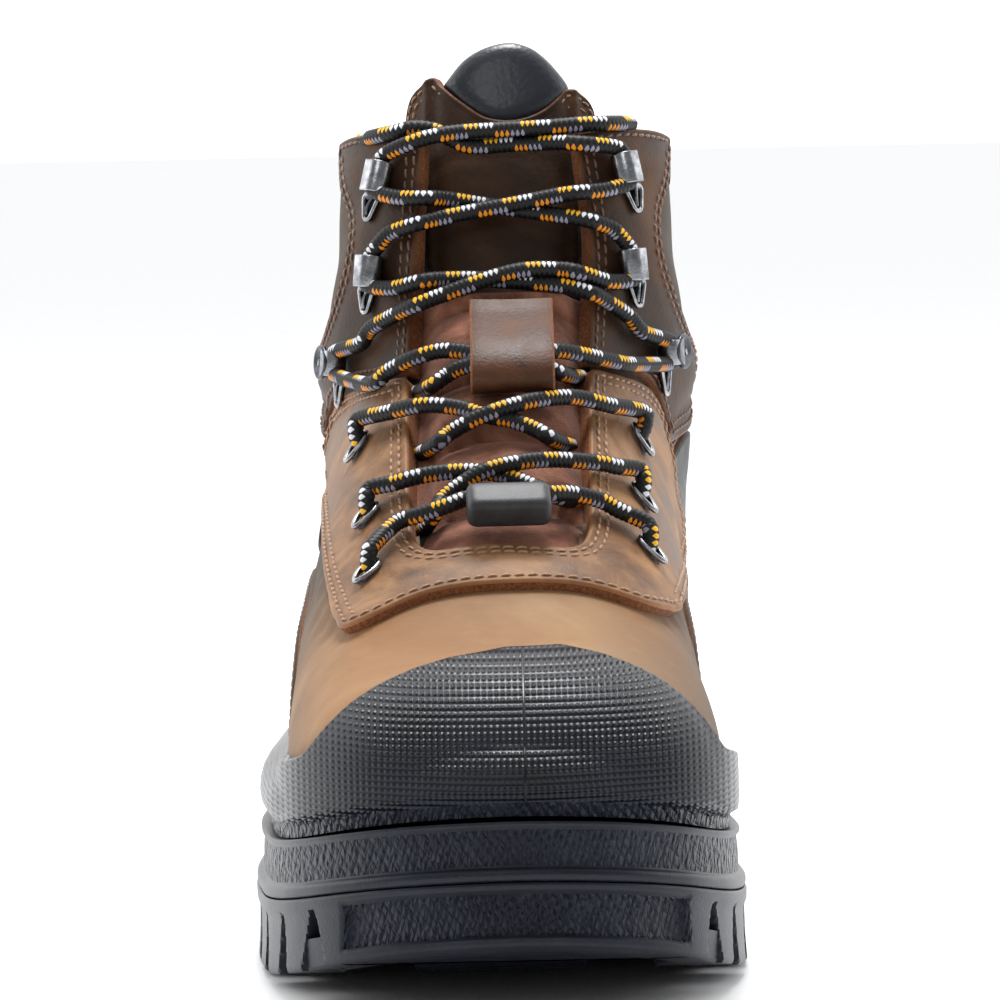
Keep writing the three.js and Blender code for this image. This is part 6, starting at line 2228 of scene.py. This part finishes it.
def braided_cord():
    """Bumps lie in eight rows. A bump is a cell between two families of slanted lines, so its row and its
    number along the cord are found by counting lines. A fleck is three bumps of one row."""
    material, tree, shader, place = new_finish("braided_polyester_lace", 0.5, ior=1.52,
                                               Specular_IOR_Level=0.3)
    flat = add(tree, "UVMap", uv_map="flat_map")
    parts = add(tree, "SeparateXYZ", {"Vector": (flat, "UV")})
    turn = calculate(tree, "DIVIDE", (parts, "X"), 2 * ROW_WIDTH)
    run = calculate(tree, "DIVIDE", (parts, "Y"), BUMP_LENGTH)
    first = calculate(tree, "ADD", turn, run)
    second = calculate(tree, "SUBTRACT", turn, run)
    heights = [calculate(tree, "SINE", calculate(tree, "MULTIPLY", line, math.pi))
               for line in (first, second)]
    bump_height = calculate(tree, "ABSOLUTE", calculate(tree, "MULTIPLY", *heights))
    # Painted shade: the black body is darkest in the valleys between the bumps and lightest on their tops.
    body = ramp(tree, bump_height, [(0.0, "010102"), (0.5, "090a0c"), (1.0, "15161b")])
    first_cell = calculate(tree, "FLOOR", first)
    second_cell = calculate(tree, "FLOOR", second)
    row = calculate(tree, "ADD", calculate(tree, "ADD", first_cell, second_cell), 1.0)
    number = calculate(tree, "MULTIPLY", calculate(tree, "SUBTRACT", first_cell, second_cell), 0.5)
    raised = add(tree, "MapRange", {"Value": bump_height}, {"From Min": 0.03, "From Max": 0.22})
    colour = (body, 0)
    for fleck_row, shift, near, far in ((-1.0, 0.0, "f0b323", "dfe0e6"), (1.0, 0.5, "e08a1c", "8d8b9c")):
        share = calculate(tree, "DIVIDE", calculate(tree, "ADD", number, 0.25), FLECK_REPEAT)
        share = calculate(tree, "FRACT", calculate(tree, "ADD", share, shift))
        swatch = ramp(tree, share, [(0.0, near), (0.273, far)], "CONSTANT")
        here = calculate(tree, "LESS_THAN", share, 0.545)
        in_row = calculate(tree, "COMPARE", row, fleck_row, 0.1)
        shown = calculate(tree, "MULTIPLY", calculate(tree, "MULTIPLY", here, in_row), (raised, 0))
        colour = blend_colours(tree, shown, colour, (swatch, 0))
    fibre = add(tree, "TexNoise", {"Vector": place}, {"Scale": 3500.0, "Detail": 2.0})
    dress(tree, shader, colour, (fibre, 0), 0.3, 0.0002)
    return material


lace_braid = braided_cord()

# %% [markdown]
# ### Lace paths
# Each length of lace is a curve through listed points: across, up, and how far the middle of the
# cord lies off the last. The ends run on through the loops, round behind the hooks, or down under the
# edge of the flap. The frame of the cord keeps its front towards the toe, so the flecks stay there.


# %% Braid helper
BRAID_STEP = 0.315
BRAID_SIDES = 32


def braid(pile, points):
    """A braided cord through points."""
    spots = np.array(points, dtype=float)
    if spots[0, 0] > spots[-1, 0]:
        spots = spots[::-1]
    path = through(spots, 24)
    length = lengths_along(path)
    even = np.linspace(0, length[-1], int(length[-1] / BRAID_STEP))
    path = at_lengths(even, length, path)
    _, out, side = frames_along(path, (0.0, -1.0, 0.1))
    angle = -np.pi + np.arange(BRAID_SIDES) * 2 * np.pi / BRAID_SIDES
    turn = angle * LACE_RADIUS
    around, along = turn[None] / (2 * ROW_WIDTH), even[:, None] / BUMP_LENGTH
    bumps = np.abs(np.sin(np.pi * (around + along)) * np.sin(np.pi * (around - along)))
    radius = LACE_RADIUS * 0.9 + 0.24 * bumps ** 0.7
    rings = path[:, None] + radius[..., None] * (np.cos(angle)[None, :, None] * out[:, None]
                                                 + np.sin(angle)[None, :, None] * side[:, None])
    faces = ring_faces(len(path), BRAID_SIDES)
    i, k = np.meshgrid(np.arange(len(path) - 1), np.arange(BRAID_SIDES), indexing="ij")
    girth = 2 * np.pi * LACE_RADIUS / BRAID_SIDES
    low, high = turn[k], turn[k] + girth
    flat_map = np.stack([np.stack([low, even[i]], -1), np.stack([high, even[i]], -1),
                         np.stack([high, even[i + 1]], -1), np.stack([low, even[i + 1]], -1)], axis=2)
    pile.add(rings.reshape(-1, 3), faces, 0, flat_map.reshape(-1, 2))


def along_front(rows):
    return [on_front(*row) for row in rows]


THROUGH_LOOP = [(0, 3.2, 3.9), (0, 0.6, 3.4), (0, -1.3, 1.6), (0, -2.2, -0.9)]


def into_loop(letter, side):
    """Points that lead a lace over the top of a loop and down through it."""
    return list(loop_seats[letter, side].to_boot(THROUGH_LOOP))


def behind_hook(number, side, ways_up):
    """Points inside the bend of a speed hook, from its lower or its upper end to its middle."""
    middle = 0.45 + BEND
    way_in = [(0, HOOK_RISE + 3.2 * ways_up, middle), (0, HOOK_RISE, middle)]
    return list(hook_seats[number, side].to_boot(way_in))


def behind_lock(side, ways_up):
    """Points inside the bend of a lock hook."""
    away = -1 if side == "lateral" else 1
    x, middle = -away * 1.4, 0.5 + (LOCK_LIFT - 0.5) / 2
    return list(lock_seats[side].to_boot([(x, LOCK_RISE + 2.6 * ways_up, middle), (x, LOCK_RISE, middle)]))


def under_flap(rows):
    """Points that lead a lace on under the edge of the flap."""
    x, z, distance = rows[-1]
    step_x, step_z = x - rows[-2][0], z - rows[-2][1]
    length = math.hypot(step_x, step_z)
    step_x, step_z = step_x / length, step_z / length
    return along_front(rows) + [on_front(x + reach * step_x, z + reach * step_z, distance - drop)
                                for reach, drop in ((3.2, 2.6), (6.2, 6.4))]


# %% Laces
BAR = [[-22, 100, 5.8], [-16, 102, 6.2], [-10, 104, 7.3], [-5, 105.5, 7.6], [4, 106, 7.8], [13, 106, 7.6],
       [19, 105.5, 6.6], [25.5, 103.5, 5.9], [29.5, 101.2, 5.8]]
LATERAL_1 = [[-22.5, 108, 5.8], [-19, 109, 5.6], [-13.5, 110, 4.6], [-5.5, 110.5, 3.9], [3, 109.5, 3.8],
             [10, 107, 3.8], [15, 104.8, 3.7]]
MEDIAL_1 = [[29.5, 110, 5.8], [26, 111, 5.5], [16, 112.5, 5.3], [7, 112.5, 6.2], [-1, 111, 6.4],
            [-6, 108.5, 5.2], [-11, 105, 3.9], [-13, 102, 3.7]]
LATERAL_2 = [[-24.5, 122.5, 5.8], [-16, 124.5, 5.5], [-7.5, 124, 4], [-1, 122.2, 3.9], [5.5, 121, 3.9],
             [11, 118.8, 3.9], [13.5, 117.3, 3.9]]
MEDIAL_2 = [[28.5, 123, 5.8], [20, 125.5, 5.4], [11, 125.5, 6.1], [3, 124, 6.5], [-4, 121.5, 5.4],
            [-9.5, 118.5, 3.9], [-12, 116.6, 3.8]]
LATERAL_3 = [[-28.8, 128, 5.5], [-24, 131.5, 5.5], [-17, 135, 5.3], [-9.5, 136.5, 3.9], [2.5, 135, 3.8],
             [13, 132.5, 3.8], [17, 130.8, 3.8]]
MEDIAL_3 = [[35.0, 131, 5.5], [31, 132, 5.2], [23, 134.5, 5], [15.5, 136, 5.3], [4, 135, 6.2],
            [-6.5, 132.8, 4.4], [-10, 131, 3.8], [-13, 129, 3.8]]
LATERAL_4 = [[-31.2, 136.8, 5.4], [-28.5, 140.5, 5.2], [-22, 144.5, 5.2], [-17, 146.8, 5.2], [-11, 149, 3],
             [-0.5, 152.5, 1.4], [8.5, 154.6, 2], [17.5, 154.5, 3.2], [22.5, 153.6, 5.2], [30, 151, 5.4]]
MEDIAL_4 = [[37.6, 138.2, 5.4], [34, 142.5, 5.2], [28, 147, 5.2], [24.5, 148.8, 5.2], [17, 150.8, 1.8],
            [8.5, 151.6, -1], [-2, 152.5, -1.6], [-10.5, 152.6, 1], [-16, 152.2, 4.4], [-23.5, 150.4, 5.4]]
LATERAL_5 = [[-25.8, 161.2, 5.4], [-23, 163.8, 5.2], [-17, 165.8, 5.2], [-11.5, 167, 2.4], [-3.5, 168.5, 0.8],
             [8.5, 170.4, 1.2], [17.5, 172, 2.8], [22.5, 172.6, 5.2], [29.5, 173.0, 5.4]]
MEDIAL_5 = [[32.8, 161.4, 5.4], [30, 164, 5.2], [25, 165.8, 5.2], [19, 167, 2], [11.5, 168, -1.4],
            [-0.5, 170, -2.2], [-9.5, 171.6, 0.6], [-15, 172, 4.6], [-22.0, 172.2, 5.4]]
LATERAL_6 = [[-24.2, 182.4, 5.6], [-17.5, 185.4, 5.4], [-12, 186.8, 3.8], [-5, 187.6, 1.2], [6, 188, 0.8],
             [17, 188.4, 2.2], [24, 188.8, 3.6], [29, 188.8, 4], [33, 188.6, 3], [36, 188.2, 0.6]]
MEDIAL_6 = [[32, 183.0, 5.8], [24, 184.2, 5.6], [18, 184.6, 2.2], [9, 184.4, -1.9], [-3, 184, -2.2],
            [-8, 185.8, -1.4], [-12, 187.9, -0.6], [-17, 188.6, 1.8], [-22, 187.6, 3], [-27, 186.4, 2.6],
            [-30, 185.4, 0.4]]
UP, DOWN = 1, -1
LACES = [
    # name of the solid, then strands: from a loop or a hook, along the chosen rows, to the other end
    ("lace_bar", [into_loop("A", "lateral")[::-1] + along_front(BAR) + into_loop("A", "medial")]),
    ("lace_crossing_1", [into_loop("B", "lateral")[::-1] + under_flap(LATERAL_1),
                         into_loop("B", "medial")[::-1] + under_flap(MEDIAL_1)]),
    ("lace_crossing_2", [into_loop("C", "lateral")[::-1] + under_flap(LATERAL_2),
                         into_loop("C", "medial")[::-1] + under_flap(MEDIAL_2)]),
    ("lace_crossing_3", [behind_lock("lateral", DOWN)[::-1] + under_flap(LATERAL_3),
                         behind_lock("medial", DOWN)[::-1] + under_flap(MEDIAL_3)]),
    ("lace_crossing_4", [
        behind_lock("lateral", UP)[::-1] + along_front(LATERAL_4) + behind_hook("5", "medial", DOWN),
        behind_lock("medial", UP)[::-1] + along_front(MEDIAL_4) + behind_hook("5", "lateral", DOWN)]),
    ("lace_crossing_5", [
        behind_hook("5", "lateral", UP)[::-1] + along_front(LATERAL_5) + behind_hook("6", "medial", DOWN),
        behind_hook("5", "medial", UP)[::-1] + along_front(MEDIAL_5) + behind_hook("6", "lateral", DOWN)]),
    ("lace_crossing_6", [behind_hook("6", "lateral", UP)[::-1] + along_front(LATERAL_6),
                         behind_hook("6", "medial", UP)[::-1] + along_front(MEDIAL_6)]),
]
for solid, strands in LACES:
    cord = Pile()
    for rows in strands:
        braid(cord, rows)
    cord.piece(f"{solid}_braid", [lace_braid], sharp=None, instead_of=[solid], slot="lace_cord")
    print(solid, len(cord.faces), "faces")

# %% [markdown]
# ## Tag
# A small moulded rubber block is threaded on the lowest lace. Its edges are rounded in the mould, and
# its top slopes back, so it catches more light than the front.

# %% Lace tag
TAG_SIZE = (19.5, 10.0, 7.2)
tag_seat = Seat(4.0, 104.6, 0.0)
tag_seat.origin = on_front(4.0, 104.6, 9.2) - tag_seat.out * TAG_SIZE[2] / 2


def tag_finish():
    material, tree, shader, place = new_finish("moulded_tag_rubber", 0.5, ior=1.5)
    bloom = add(tree, "TexNoise", {"Vector": place}, {"Scale": 300.0, "Detail": 4.0})
    tone = ramp(tree, (bloom, 0), [(0.3, "1b1c20"), (0.7, "2a2b30")])
    fine = add(tree, "TexNoise", {"Vector": place}, {"Scale": 1800.0, "Detail": 2.0})
    dress(tree, shader, (tone, 0), (fine, 0), 0.3, 0.0002)
    return material


tag_rubber = tag_finish()
tag_rings = []
half_x, half_y, deep = TAG_SIZE[0] / 2, TAG_SIZE[1] / 2, TAG_SIZE[2]
for share, by in ((0.0, 1.1), (0.03, 0.6), (0.1, 0.2), (0.2, 0.0), (0.72, 0.05), (0.86, 0.35), (0.94, 0.8),
                  (0.985, 1.4), (1.0, 2.2)):
    plan = rounded_plan([(-half_x + by, -half_y + by), (half_x - by, -half_y + by),
                         (half_x - by, half_y - by * 1.6), (-half_x + by, half_y - by * 1.6)], 2.2, 8)
    tag_rings.append(np.column_stack([plan, np.full(len(plan), share * deep)]))
tag_count = len(tag_rings[0])
tag_pile = Pile()
tag_faces = ring_faces(len(tag_rings), tag_count).tolist() + end_faces(len(tag_rings), tag_count)
tag_pile.add(tag_seat.to_boot(np.concatenate(tag_rings)), tag_faces)
tag_pile.piece("lace_tag_block", [tag_rubber], sharp=60, instead_of=["lace_tag"], slot="tag_rubber")
print("tag:", len(tag_faces), "faces")
